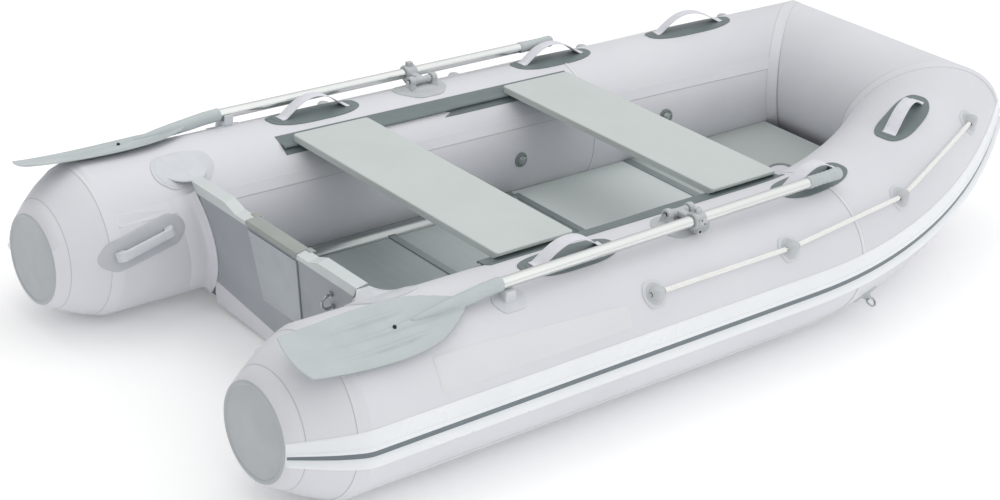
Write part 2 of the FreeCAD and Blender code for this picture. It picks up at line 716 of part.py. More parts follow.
def collar_halves():
    """A sleeve on the pin with an arm to the inboard half of the clamp, and the outboard half."""
    between = lug_spacing - lug_thickness
    sleeve = disc(vec(pin_x, pin_y, pin_z), ahead, 11.5, between - 3.0)
    arm = Part.makeBox(28.0, oar_y - pin_y, 17.0, vec(pin_x - 14.0, pin_y, pin_z - 8.5))
    ring = disc(collar_centre, ahead, collar_outer, collar_length)
    bore = along_oar(disc(collar_centre, ahead, shaft_radius + collar_play, collar_length * 2))
    inner = ring.common(half_space(collar_centre - vec(0, 0.4, 0), vec(0, -1, 0)))
    outer = ring.common(half_space(collar_centre + vec(0, 0.4, 0), vec(0, 1, 0)))
    tab = disc(collar_centre + vec(0, 7.0, -collar_outer - 1.0), vec(0, 1, 0), 8.0, 12.0)
    tab_hull = Part.makeBox(16.0, 12.0, 12.0, collar_centre + vec(-8.0, 1.0, -collar_outer - 1.0))
    swivel = sleeve.fuse(arm).fuse(inner).cut(bore)
    swivel = swivel.cut(disc(vec(pin_x, pin_y, pin_z), ahead, pin_radius + pin_play, 200))
    clamp = outer.fuse(tab).fuse(tab_hull).cut(bore)
    swivel = swivel.cut(half_space(collar_centre - vec(0, 0.39, 0), vec(0, 1, 0)))
    return swivel.Solids[0], clamp.Solids[0]


def along_oar(shape):
    """Turns what is drawn along X about the clamp to the stowed oar's line."""
    shape = shape.copy()
    shape.rotate(collar_centre, vec(0, 1, 0), -oar_rise)
    shape.rotate(collar_centre, vec(0, 0, 1), -oar_toe)
    return shape


def oar_line(x, drop=0.0, out=0.0):
    return vec(x, oar_y + out, oar_z - drop)


def oar_shaft():
    length = shaft_fore_x - shaft_aft_x
    return along_oar(Part.makeCylinder(shaft_radius, length, oar_line(shaft_aft_x), ahead))


def oar_grip():
    grip = Part.makeCylinder(grip_radius, grip_end_x - shaft_fore_x, oar_line(shaft_fore_x), ahead)
    return along_oar(rounded(grip, 5.0, lambda edge: edge.BoundBox.XMin > grip_end_x - 1))


def blade_drop(x):
    """How far the blade's sheet hangs below the shaft's line: a spoon, lower at its tip."""
    share = (shaft_aft_x - x) / (shaft_aft_x - blade_tip_x)
    return blade_tip_drop * share + 4 * blade_spoon * share * (1.0 - share)


def oar_blade():
    """A spooned sheet on a socket that runs out into a spine."""
    length = shaft_aft_x - blade_tip_x
    lean = radians(blade_tilt)
    sections = []
    for share, half in blade_half_widths:
        x = shaft_aft_x - length * share
        centre = oar_line(x, blade_drop(x))
        across_blade = vec(0, cos(lean), -sin(lean))
        up = vec(0, sin(lean), cos(lean))
        corners = [centre + across_blade * (half * sy) + up * (blade_thickness / 2 * sz)
                   for sy, sz in ((-1, -1), (1, -1), (1, 1), (-1, 1))]
        sections.append(Part.makePolygon(corners + [corners[0]]))
    sheet = Part.makeLoft(sections, True, False)
    rings = []
    for share, radius in blade_spine_radii:
        x = shaft_aft_x - length * share
        drop = max(0.0, blade_drop(x) - 6.0)
        rings.append(Part.Wire(Part.makeCircle(radius, oar_line(x, drop), ahead)))
    spine = Part.makeLoft(rings, True, False)
    return along_oar(sheet.fuse(spine).Solids[0])


def oar_clips():
    """A glued pad with a block under the shaft and a stop on its inboard side."""
    patch = tube_patch(clip_x, 66.0, [(-52, 0), (-34, 34), (34, 34), (52, 0), (34, -34), (-34, -34)])
    line = along_oar(Part.Vertex(oar_line(clip_x))).Point
    foot, aft, reach = tube_radius * 2 - 60.0, clip_x - clip_width / 2, shaft_radius + clip_play
    block = Part.makeBox(clip_width, 46.0, line.z - reach - foot + 8.0, vec(aft, line.y - 23.0, foot))
    stop = Part.makeBox(clip_width, 6.0, line.z + 4.0 - foot, vec(aft, line.y - reach - 6.0, foot))
    skin = Part.makeCylinder(tube_radius + piece_gap, 400,
                             vec(clip_x - 200, half_spacing, tube_radius), ahead)
    room = Part.makeCylinder(reach, 200, vec(clip_x - 100, line.y, line.z), ahead)
    above = Part.makeBox(200, 60, 60, vec(clip_x - 100, line.y, line.z - shaft_radius * 0.6))
    return on_sides(patch.fuse(block).fuse(stop).cut(skin).cut(room).cut(above).Solids[0])


# ---------------------------------------------------------------- assembly
def build():
    room = tube_room(1.0)
    tube = port_tube()
    strake = side_strake()
    swivel, clamp = collar_halves()
    straps = Part.makeCompound(handle_straps())
    nodes = {
        "port_tube": tube,
        "starboard_tube": mirrored(tube),
        "bow_tube": bow_tube(),
        "end_caps": end_caps(),
        "port_rub_strake": strake,
        "starboard_rub_strake": mirrored(strake),
        "bow_rub_strake": bow_run(strake_face(bow_point)),
        "transom_board": transom_board(),
        "transom_trim": transom_trim(),
        "outer_motor_plate": motor_plate(outer_plate, -outer_plate[-1] - 0.2),
        "inner_motor_plate": motor_plate(inner_plate, transom_thickness + 0.2),
        "transom_gussets": transom_gussets(),
        "transom_brackets": transom_brackets(),
        "transom_u_bolt": transom_u_bolt(),
        "bottom_skin": bottom_skin(room),
        "keel_strip": keel_strip(),
        "floor_profiles": floor_profiles(room),
        "floor_stringers": floor_stringers(),
        "seat_rails": seat_rails(),
        "aft_thwart": thwart(aft_thwart_x),
        "forward_thwart": thwart(forward_thwart_x),
        "handle_patches": handle_patches(),
        "port_handle_straps": straps,
        "starboard_handle_straps": mirrored(straps),
        "stern_handles": stern_handles(),
        "lifelines": on_sides(lifeline()),
        "lifeline_eyes": lifeline_eyes(),
        "bow_tow_rings": bow_tow_rings(),
        "inflation_valves": inflation_valves(),
        "oarlock_bases": oarlock_bases(),
        "oarlock_pins": oarlock_pins(),
        "oar_clips": oar_clips(),
    }
    nodes.update(floor_panels(room))
    oar = {"oarlock_swivel": swivel, "oar_collar": clamp, "oar_shaft": oar_shaft(),
           "oar_grip": oar_grip(), "oar_blade": oar_blade()}
    for name, shape in oar.items():
        nodes["port_" + name] = shape
        nodes["starboard_" + name] = mirrored(shape)
    return nodes


nodes = build()
# the origin is under the middle of the whole boat
middle_x = (stern_x - cap_thickness + nodes["bow_rub_strake"].BoundBox.XMax) / 2
os.makedirs("parts", exist_ok=True)
for name, shape in nodes.items():
    shape.translate(vec(-middle_x, 0, 0))
    shape.exportStep("parts/" + name + ".step")
    box = shape.BoundBox
    print("%-26s solids %d valid %s  x %.0f..%.0f y %.0f..%.0f z %.1f..%.0f vol %.0f cm3" % (
        name, len(shape.Solids), shape.isValid(), box.XMin, box.XMax, box.YMin, box.YMax,
        box.ZMin, box.ZMax, shape.Volume / 1000))
print("middle", round(middle_x, 2))
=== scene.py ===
import bpy, bmesh, json
from math import sin, cos, pi, radians, degrees, sqrt
from mathutils import Matrix, Vector

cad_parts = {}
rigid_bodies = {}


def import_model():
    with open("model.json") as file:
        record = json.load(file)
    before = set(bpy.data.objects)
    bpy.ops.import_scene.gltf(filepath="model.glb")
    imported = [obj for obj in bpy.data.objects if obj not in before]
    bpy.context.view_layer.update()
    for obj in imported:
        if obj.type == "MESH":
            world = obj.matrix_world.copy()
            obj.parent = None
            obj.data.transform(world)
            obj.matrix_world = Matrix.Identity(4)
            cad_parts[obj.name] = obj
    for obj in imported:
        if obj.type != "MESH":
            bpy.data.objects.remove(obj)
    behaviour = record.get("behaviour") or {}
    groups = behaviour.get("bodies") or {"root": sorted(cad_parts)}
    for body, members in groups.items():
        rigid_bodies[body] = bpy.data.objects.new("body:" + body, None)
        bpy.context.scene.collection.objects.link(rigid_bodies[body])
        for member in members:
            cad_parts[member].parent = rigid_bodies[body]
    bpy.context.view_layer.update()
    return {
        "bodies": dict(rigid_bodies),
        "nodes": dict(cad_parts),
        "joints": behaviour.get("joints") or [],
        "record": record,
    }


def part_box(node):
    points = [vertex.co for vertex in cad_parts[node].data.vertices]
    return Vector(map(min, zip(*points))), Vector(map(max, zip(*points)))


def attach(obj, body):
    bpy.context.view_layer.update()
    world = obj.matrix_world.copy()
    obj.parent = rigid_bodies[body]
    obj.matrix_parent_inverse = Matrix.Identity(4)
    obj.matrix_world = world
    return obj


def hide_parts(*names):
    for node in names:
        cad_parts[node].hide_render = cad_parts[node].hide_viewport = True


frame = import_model()

# ---- camera
view = {"place": (-3.7443, -3.7959, 2.6075), "turn": -42.3824, "down": 25.5298, "roll": 4.9272, "lens": 69.66}

cameraData = bpy.data.cameras.new("viewCamera")
cameraData.lens = view["lens"]
cameraData.sensor_width = 36
cameraData.clip_end = 60
camera = bpy.data.objects.new("viewCamera", cameraData)
bpy.context.collection.objects.link(camera)
camera.matrix_world = (Matrix.Translation(view["place"]) @ Matrix.Rotation(radians(view["turn"]), 4, "Z")
                       @ Matrix.Rotation(radians(90 - view["down"]), 4, "X")
                       @ Matrix.Rotation(radians(view["roll"]), 4, "Z"))
bpy.context.scene.camera = camera
bpy.context.scene.view_settings.view_transform = "Standard"

# ---- the boat's lines, in metres, as the CAD has them
lines = {"radius": 0.222, "halfSpacing": 0.56, "bendX": 0.22225, "bendRadius": 2.05,
         "bendAngle": radians(30.8), "bendTilt": radians(26), "transomX": -1.09875, "transomZ": 0.408,
         "rake": 0.2, "transomThick": 0.030, "riseX": 0.24425, "riseRadius": 2.86}
tail = {"startX": -1.32875, "endX": -1.50575, "in": 0.020, "down": 0.014,
        "rings": ((0.0, 0.222), (0.08, 0.2208), (0.2, 0.2145), (0.45, 0.194), (0.72, 0.1645), (1.0, 0.131))}

tubeRadius, halfSpacing = lines["radius"], lines["halfSpacing"]
ahead = Vector((1, 0, 0))
inboard = Vector((0, -cos(lines["bendTilt"]), sin(lines["bendTilt"])))
bendAxis = ahead.cross(inboard)
bendCentre = Vector((lines["bendX"], halfSpacing, tubeRadius)) + inboard * lines["bendRadius"]


def bendTurn(place):
    return Matrix.Rotation(max(0.0, (place - lines["bendX"]) / lines["bendRadius"]), 3, bendAxis)


def tailRadius(share):
    rings = tail["rings"]
    for (shareA, radiusA), (shareB, radiusB) in zip(rings, rings[1:]):
        if share <= shareB:
            return radiusA + (radiusB - radiusA) * (share - shareA) / (shareB - shareA)
    return rings[-1][1]


# a point on or off the port tube's skin; the angle is measured up from outboard
def skinPoint(place, angle, lift=0.0):
    a = radians(angle)
    if place < tail["startX"]:
        share = (tail["startX"] - place) / (tail["startX"] - tail["endX"])
        reach = tailRadius(share) + lift
        return Vector((place, halfSpacing - tail["in"] * share ** 2 + reach * cos(a),
                       tubeRadius - tail["down"] * share ** 2 + reach * sin(a)))
    reach = tubeRadius + lift
    flat = Vector((min(place, lines["bendX"]), halfSpacing + reach * cos(a), tubeRadius + reach * sin(a)))
    if place <= lines["bendX"]:
        return flat
    return bendCentre + bendTurn(place) @ (flat - bendCentre)


def headingAt(place):
    return bendTurn(place) @ ahead


def outwardAt(place, angle):
    return (skinPoint(place, angle, 0.1) - skinPoint(place, angle)).normalized()


mitrePlace = lines["bendX"] + lines["bendRadius"] * lines["bendAngle"]
mitrePoint = bendCentre + bendTurn(mitrePlace) @ (Vector((lines["bendX"], halfSpacing, tubeRadius)) - bendCentre)
mitreNormal = (headingAt(mitrePlace) + Vector((0, -1, 0))).normalized()


# where a line along the skin meets the mitre with the bow tube
def placeOnMitre(angle, lift=0.0):
    place = mitrePlace
    for _ in range(6):
        place -= (skinPoint(place, angle, lift) - mitrePoint).dot(mitreNormal) / headingAt(place).dot(mitreNormal)
    return place


def bowPoint(y, angle, lift=0.0):
    a = radians(angle)
    turn = bendTurn(mitrePlace)
    out, up = turn @ Vector((0, 1, 0)), turn @ Vector((0, 0, 1))
    out, up = (d - mitreNormal * (2 * d.dot(mitreNormal)) for d in (out, up))
    reach = tubeRadius + lift
    at = Vector((mitrePoint.x, 0, mitrePoint.z)) + out * (reach * cos(a)) + up * (reach * sin(a))
    at.y = y
    return at


def risen(x):
    past = max(0.0, x - lines["riseX"])
    return lines["riseRadius"] - sqrt(lines["riseRadius"] ** 2 - past ** 2)


def transomPoint(y, z, depth=0.0):
    slope = sqrt(1 + lines["rake"] ** 2)
    return Vector((lines["transomX"] + (lines["transomZ"] - z) * lines["rake"] + depth / slope, y,
                   z + depth * lines["rake"] / slope))


# the directions ahead, round the tube towards outboard and out of its skin, at a spot on it
def spotMatrix(place, angle, slant=0.0, lift=0.0):
    heading, out = headingAt(place), outwardAt(place, angle)
    side = out.cross(heading)
    turn = radians(slant)
    along, over = heading * cos(turn) + side * sin(turn), side * cos(turn) - heading * sin(turn)
    at = skinPoint(place, angle, lift)
    return Matrix([(along[i], over[i], out[i], at[i]) for i in range(3)] + [(0, 0, 0, 1)])


# ---- mesh helpers
# a loop of spots carried through rings; each ring turns a spot's two numbers into a point
def sweepLoop(bm, spots, rings, closed=True, ends=True, paint=None):
    tag = bm.verts.layers.int.get("spot") or bm.verts.layers.int.new("spot")
    verts = [bm.verts.new(rings[0](*spot)) for spot in spots]
    for index, vert in enumerate(verts):
        vert[tag] = index
    pairs = list(zip(verts, verts[1:] + verts[:1])) if closed else list(zip(verts, verts[1:]))
    edges = [bm.edges.new(pair) for pair in pairs]
    if ends and closed:
        bm.faces.new(verts)
    for ring in rings[1:]:
        geom = bmesh.ops.extrude_edge_only(bm, edges=edges)["geom"]
        edges = [item for item in geom if isinstance(item, bmesh.types.BMEdge)]
        verts = [item for item in geom if isinstance(item, bmesh.types.BMVert)]
        for vert in verts:
            vert.co = ring(*spots[vert[tag]])
        if paint:
            for item in geom:
                if isinstance(item, bmesh.types.BMFace):
                    item.material_index = paint[min(vert[tag] for vert in item.verts)]
    if ends and closed:
        bm.faces.new(sorted(verts, key=lambda vert: vert[tag]))
    return verts


def newMesh():
    return bmesh.new()


def addBlock(bm, size, at=(0, 0, 0), bevel=0.0, segments=2, matrix=Matrix()):
    verts = bmesh.ops.create_cube(bm, size=1.0)["verts"]
    bmesh.ops.scale(bm, vec=size, verts=verts)
    bmesh.ops.translate(bm, vec=at, verts=verts)
    if bevel:
        edges = list({edge for vert in verts for edge in vert.link_edges})
        grown = bmesh.ops.bevel(bm, geom=edges, offset=bevel, segments=segments, profile=0.5,
                                affect="EDGES", material=-1)
        verts = list({vert for face in grown["faces"] for vert in face.verts})
    bmesh.ops.transform(bm, matrix=matrix, verts=verts)
    return verts


# a turned shape: (radius, height) stations about Z
def addTurned(bm, stations, matrix=Matrix(), steps=32):
    verts = [bm.verts.new((radius, 0, height)) for radius, height in stations]
    edges = [bm.edges.new(pair) for pair in zip(verts, verts[1:])]
    before = set(bm.verts) - set(verts)
    bmesh.ops.spin(bm, geom=verts + edges, cent=(0, 0, 0), axis=(0, 0, 1), angle=2 * pi, steps=steps,
                   use_merge=True)
    made = [vert for vert in bm.verts if vert not in before]
    bmesh.ops.remove_doubles(bm, verts=made, dist=1e-6)
    made = [vert for vert in bm.verts if vert not in before]
    bmesh.ops.transform(bm, matrix=matrix, verts=made)
    return made


def addRing(bm, radius, wire, matrix=Matrix(), steps=32, sides=10, arc=2 * pi):
    spots = [(wire * cos(2 * pi * i / sides), wire * sin(2 * pi * i / sides)) for i in range(sides)]
    full = abs(arc - 2 * pi) < 1e-6
    rings = [lambda p, q, a=arc * i / steps: matrix @ Vector(((radius + p) * cos(a), (radius + p) * sin(a), q))
             for i in range(steps + 1)]
    return sweepLoop(bm, spots, rings, ends=not full)


def along(direction, at=(0, 0, 0)):
    return Matrix.Translation(at) @ Vector((0, 0, 1)).rotation_difference(Vector(direction)).to_matrix().to_4x4()


# a flat patch drawn as ahead, over and up, with rounded corners, ready to wrap on the tube
def flatPatch(bm, outline, rounding, thickness, edge=0.0008, slice=0.012, segments=5):
    verts = [bm.verts.new((u, v, 0)) for u, v in outline]
    face = bm.faces.new(verts)
    if face.normal.z < 0 or sum(a[0] * b[1] - a[1] * b[0] for a, b in zip(outline, outline[1:] + outline[:1])) < 0:
        face.normal_flip()
    if rounding:
        bmesh.ops.bevel(bm, geom=verts, offset=rounding, segments=segments, profile=0.5, affect="VERTICES",
                        material=-1)
    face = max(bm.faces, key=lambda item: item.calc_area())
    top = bmesh.ops.extrude_face_region(bm, geom=[face])["geom"]
    bmesh.ops.translate(bm, vec=(0, 0, thickness), verts=[v for v in top if isinstance(v, bmesh.types.BMVert)])
    upper = [item for item in top if isinstance(item, bmesh.types.BMFace)][0]
    for vert in bm.verts:
        if vert.co.z < thickness / 2:
            vert.co.z -= 0.002
    bmesh.ops.bevel(bm, geom=list(upper.edges), offset=edge, segments=2, profile=0.5, affect="EDGES", material=-1)
    reachU, reachV = max(abs(v.co.x) for v in bm.verts), max(abs(v.co.y) for v in bm.verts)
    for axis, reach, step in ((1, reachV, slice), (0, reachU, slice * 2.5)):
        count = int(reach / step)
        for index in range(-count, count + 1):
            spot, normal = Vector(), Vector()
            spot[axis], normal[axis] = index * step, 1
            bmesh.ops.bisect_plane(bm, geom=bm.verts[:] + bm.edges[:] + bm.faces[:], dist=1e-5,
                                   plane_co=spot, plane_no=normal)


def wrapOnTube(verts, place, angle, slant=0.0, lift=0.0):
    turn = radians(slant)
    for vert in verts:
        u, v, height = vert.co
        arc = u * sin(turn) + v * cos(turn)
        vert.co = skinPoint(place + u * cos(turn) - v * sin(turn), angle - degrees(arc / tubeRadius), lift + height)


def joinInto(bm, other):
    mesh = bpy.data.meshes.new("part")
    other.to_mesh(mesh)
    other.free()
    bm.from_mesh(mesh)
    bpy.data.meshes.remove(mesh)


pieceCount = {"made": 0}


def finishPiece(name, bm, materials, body="hull", nodes=(), slot=None, sharp=35, mirror=False, turn=True):
    tag = bm.verts.layers.int.get("spot")
    if tag:
        bm.verts.layers.int.remove(tag)
    bmesh.ops.remove_doubles(bm, verts=bm.verts, dist=1e-6)
    if turn:
        bmesh.ops.recalc_face_normals(bm, faces=bm.faces)
    if mirror:
        bmesh.ops.scale(bm, vec=(1, -1, 1), verts=bm.verts)
        bmesh.ops.reverse_faces(bm, faces=bm.faces)
    mesh = bpy.data.meshes.new(name)
    bm.to_mesh(mesh)
    bm.free()
    for material in materials:
        mesh.materials.append(material)
    mesh.polygons.foreach_set("use_smooth", [True] * len(mesh.polygons))
    mesh.set_sharp_from_angle(angle=radians(sharp))
    piece = bpy.data.objects.new(name, mesh)
    bpy.context.collection.objects.link(piece)
    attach(piece, body)
    if nodes:
        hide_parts(*nodes)
    pieceCount["made"] += 1
    return piece


# the same piece on both sides; body and nodes may hold {side}
def finishPair(name, draw, materials, body="hull", nodes=(), **rest):
    for side in ("port", "starboard"):
        bm = newMesh()
        draw(bm)
        finishPiece(side + name, bm, materials, body.format(side=side), [n.format(side=side) for n in nodes],
                    mirror=side == "starboard", **rest)


# ---- materials
def linear(hexColour):
    parts = [int(hexColour[i:i + 2], 16) / 255 for i in (1, 3, 5)]
    return tuple(c / 12.92 if c < 0.04045 else ((c + 0.055) / 1.055) ** 2.4 for c in parts) + (1.0,)


def addNode(tree, kind, links=None, **settings):
    node = tree.nodes.new("ShaderNode" + kind)
    for key, value in settings.items():
        setattr(node, key, value)
    for socket, value in (links or {}).items():
        if isinstance(value, bpy.types.NodeSocket):
            tree.links.new(value, node.inputs[socket])
        else:
            node.inputs[socket].default_value = value
    return node


# base colour with soft blotches, and a list of bumps laid over each other
def makeFinish(name, colour, shade, roughness, blotch=0.3, amount=0.5, metallic=0.0, coat=0.0, specular=0.5,
               roughSpread=0.05, bumps=(), sheen=0.0, coords="Object"):
    material = bpy.data.materials.new(name)
    material.use_nodes = True
    tree = material.node_tree
    tree.nodes.clear()
    where = addNode(tree, "TexCoord").outputs[coords]
    cloud = addNode(tree, "TexNoise", {"Vector": where, "Scale": 1 / blotch, "Detail": 4.0, "Roughness": 0.55})
    spread = addNode(tree, "MapRange", {"Value": cloud.outputs["Fac"], "From Min": 0.35, "From Max": 0.65,
                                        "To Min": 0.0, "To Max": amount})
    mix = addNode(tree, "Mix", {0: spread.outputs["Result"], 6: linear(colour), 7: linear(shade)},
                  data_type="RGBA")
    rough = addNode(tree, "MapRange", {"Value": cloud.outputs["Fac"], "From Min": 0.3, "From Max": 0.7,
                                       "To Min": roughness - roughSpread, "To Max": roughness + roughSpread})
    normal = None
    for bump in bumps:
        stretch = addNode(tree, "Mapping", {"Vector": where, "Scale": bump.get("stretch", (1, 1, 1))})
        if bump["kind"] == "wave":
            pattern = addNode(tree, "TexWave", {"Vector": stretch.outputs[0], "Scale": bump["scale"],
                                                "Distortion": bump.get("wander", 0.0)},
                              bands_direction=bump.get("bands", "X"), wave_profile=bump.get("shape", "SIN"))
        elif bump["kind"] == "grit":
            pattern = addNode(tree, "TexVoronoi", {"Vector": stretch.outputs[0], "Scale": bump["scale"]})
        else:
            pattern = addNode(tree, "TexNoise", {"Vector": stretch.outputs[0], "Scale": bump["scale"],
                                                 "Detail": bump.get("detail", 2.0)})
        height = pattern.outputs["Distance" if bump["kind"] == "grit" else "Fac"]
        links = {"Height": height, "Strength": bump.get("strength", 0.5), "Distance": bump["depth"]}
        if normal:
            links["Normal"] = normal
        normal = addNode(tree, "Bump", links).outputs["Normal"]
    links = {"Base Color": mix.outputs[2], "Roughness": rough.outputs["Result"], "Metallic": metallic,
             "Coat Weight": coat, "Sheen Weight": sheen}
    if not metallic:
        links["Specular IOR Level"] = specular
    if normal:
        links["Normal"] = normal
    shader = addNode(tree, "BsdfPrincipled", links)
    addNode(tree, "OutputMaterial", {"Surface": shader.outputs[0]})
    return material


def millimetres(size):
    return 1000.0 / size


# pitch of a wave texture: its bands repeat every pi / 10 units at a scale of 1
def bandScale(pitch):
    return millimetres(pitch) * pi / 10


weaveBumps = [{"kind": "wave", "scale": bandScale(1.6), "bands": "X", "depth": 0.00004},
              {"kind": "wave", "scale": bandScale(1.6), "bands": "Z", "depth": 0.00004},
              {"kind": "noise", "scale": 4.0, "detail": 3.0, "depth": 0.0025, "strength": 0.35}]

finish = {
    # polyester scrim coated with PVC: satin, a faint weave under it, and slow swells from the pressure
    "hullPvc": makeFinish("hullPvc", "#DCDDE2", "#D3D3D9", 0.46, 0.5, 0.6, bumps=weaveBumps),
    "seamPvc": makeFinish("seamPvc", "#DEDFE4", "#D6D6DC", 0.40, 0.3, 0.5, bumps=weaveBumps[:2]),
    # painted shade: a darker grey for the thin shadows along tape edges and seam lines
    "seamEdgeShade": makeFinish("seamEdgeShade", "#BFBFC4", "#C6C6CB", 0.55, 0.1, 0.6),
    "capPvc": makeFinish("capPvc", "#B4B9BC", "#A9AEB2", 0.42, 0.12, 0.6, bumps=weaveBumps[:2]),
    # extruded PVC bumper: smooth and a little shiny, with die lines along it
    "strakeWhite": makeFinish("strakeWhite", "#EDF0F3", "#E4E8EC", 0.30, 0.2, 0.5,
                              bumps=[{"kind": "noise", "scale": 30.0, "stretch": (0.05, 1, 1), "depth": 0.0006,
                                      "strength": 0.3}]),
    "strakeSlate": makeFinish("strakeSlate", "#6C777C", "#788389", 0.42, 0.1, 0.5),
    "slatePvc": makeFinish("slatePvc", "#6B7677", "#748081", 0.48, 0.06, 0.7,
                           bumps=[{"kind": "grit", "scale": millimetres(1.8), "depth": 0.00012},
                                  {"kind": "noise", "scale": 25.0, "depth": 0.0008, "strength": 0.3}]),
    "palePatch": makeFinish("palePatch", "#D2D5D9", "#C8CCD1", 0.42, 0.05, 0.6,
                            bumps=[{"kind": "grit", "scale": millimetres(1.5), "depth": 0.00008}]),
    # injection moulded nylon: fine spark-eroded grain
    "fittingNylon": makeFinish("fittingNylon", "#BFC3C5", "#B5BABC", 0.40, 0.03, 0.6,
                               bumps=[{"kind": "grit", "scale": millimetres(0.9), "depth": 0.00005}]),
    # dark moulded plastic of the valve collars and keel valve ring; also used as painted shade on the motor plate's
    # side edges
    "fittingDarkAndEdgeShade": makeFinish("fittingDarkAndEdgeShade", "#77807F", "#8B9493", 0.40, 0.02, 0.7,
                              bumps=[{"kind": "grit", "scale": millimetres(0.9), "depth": 0.00005}]),
    "valveGrey": makeFinish("valveGrey", "#A9B0B0", "#9DA5A5", 0.34, 0.02, 0.6),
    # painted shade: near-black for the inside of holes and recesses
    "holeShade": makeFinish("holeShade", "#1B1D1F", "#26282A", 0.7, 0.02, 0.5),
    # polyester webbing: threads across it at 1.2 mm, drawn from its own flat measure
    "webbing": makeFinish("webbing", "#E2E3EA", "#D5D6DE", 0.62, 0.02, 0.6, sheen=0.2, coords="UV",
                          bumps=[{"kind": "wave", "scale": bandScale(2.2), "bands": "X", "depth": 0.0004},
                                 {"kind": "wave", "scale": bandScale(2.8), "bands": "Y", "depth": 0.0003}]),
    "ropeYarn": makeFinish("ropeYarn", "#FBFBF9", "#F0F0EC", 0.66, 0.006, 0.7, sheen=0.3,
                           bumps=[{"kind": "noise", "scale": millimetres(0.8), "stretch": (0.25, 1, 1),
                                   "depth": 0.0003}]),
    # painted marine plywood: eggshell paint with a slight orange peel
    "transomPaint": makeFinish("transomPaint", "#A3A8AE", "#989DA4", 0.50, 0.2, 0.6,
                               bumps=[{"kind": "noise", "scale": millimetres(4), "depth": 0.0002}]),
    "trimPvc": makeFinish("trimPvc", "#D0D7D6", "#C6CECD", 0.38, 0.1, 0.5),
    "plateAbs": makeFinish("plateAbs", "#B2B8BD", "#A8AEB4", 0.45, 0.08, 0.6,
                           bumps=[{"kind": "grit", "scale": millimetres(1.6), "depth": 0.00012}]),
    "plateWarm": makeFinish("plateWarm", "#9EA39F", "#959B97", 0.42, 0.08, 0.6,
                            bumps=[{"kind": "grit", "scale": millimetres(1.6), "depth": 0.00012}]),
    "stainless": makeFinish("stainless", "#B9BCBE", "#A5A8AA", 0.24, 0.02, 0.5, metallic=1.0),
    # anodised aluminium planks, brushed athwartships
    "floorBrushed": makeFinish("floorBrushed", "#B4BCBC", "#A8B1B1", 0.44, 0.35, 0.7, metallic=0.35,
                               bumps=[{"kind": "noise", "scale": 500.0, "stretch": (1, 0.004, 1), "depth": 0.0004},
                                      {"kind": "wave", "scale": bandScale(42), "bands": "X", "depth": 0.0012}]),
    # painted light: the middle floor panel's paint made lighter than the same paint on the bow panel, against the shade
    # between the tubes
    "litFloorPaint": makeFinish("litFloorPaint", "#D8DFDD", "#D1D8D6", 0.42, 0.5, 0.6,
                             bumps=[{"kind": "grit", "scale": millimetres(3), "depth": 0.0002}]),
    # painted shade: the same floor paint darkened for the bow panel
    "shadedFloorPaint": makeFinish("shadedFloorPaint", "#B4BBB9", "#ADB4B2", 0.42, 0.5, 0.6,
                             bumps=[{"kind": "grit", "scale": millimetres(3), "depth": 0.0002}]),
    "profileAluminium": makeFinish("profileAluminium", "#B8BDBC", "#A9AFAE", 0.32, 0.3, 0.6, metallic=1.0,
                                   bumps=[{"kind": "noise", "scale": 700.0, "stretch": (0.004, 1, 1),
                                           "depth": 0.0002}]),
    "jointAluminium": makeFinish("jointAluminium", "#9AA4A4", "#8E9898", 0.40, 0.3, 0.6, metallic=0.45,
                                 bumps=[{"kind": "wave", "scale": bandScale(6), "bands": "X", "depth": 0.0008}]),
    # powder-coated board: even, satin, with a fine texture
    "thwartPaint": makeFinish("thwartPaint", "#C6CDCB", "#C0C7C5", 0.44, 0.25, 0.6,
                              bumps=[{"kind": "grit", "scale": millimetres(2), "depth": 0.00012}]),
    "shaftAluminium": makeFinish("shaftAluminium", "#E4E7E5", "#DBDFDD", 0.20, 0.3, 0.5, metallic=1.0),
    # glass-filled nylon: dull, with flow marks
    "oarNylon": makeFinish("oarNylon", "#BCC4C5", "#B4BDBE", 0.36, 0.08, 0.7,
                           bumps=[{"kind": "grit", "scale": millimetres(1.2), "depth": 0.00008}]),
    "gripRubber": makeFinish("gripRubber", "#BCC3C4", "#B3BABB", 0.50, 0.03, 0.6,
                             bumps=[{"kind": "grit", "scale": millimetres(1.4), "depth": 0.00015}]),
}
print("materials ready:", len(finish))

# CAD nodes whose shape stays
# the middle and bow floor panels take lit and shaded copies of one paint
nodeFinish = {
    "transom_board": "transomPaint", "transom_trim": "trimPvc", "outer_motor_plate": "plateAbs",
    "inner_motor_plate": "plateWarm", "transom_u_bolt": "stainless", "keel_strip": "strakeSlate",
    "floor_profiles": "jointAluminium", "floor_stringers": "profileAluminium", "aft_thwart": "thwartPaint",
    "forward_thwart": "thwartPaint", "oarlock_pins": "stainless", "aft_floor_panel": "floorBrushed",
    "second_floor_panel": "floorBrushed", "third_floor_panel": "litFloorPaint", "bow_floor_panel": "shadedFloorPaint",
}
for nodeName, finishName in nodeFinish.items():
    mesh = frame["nodes"][nodeName].data
    mesh.materials.clear()
    mesh.materials.append(finish[finishName])


# ---- tubes
tubeShape = {"sides": 96, "bendStep": 0.055, "mitreSteps": 5, "seamLow": -38.0}


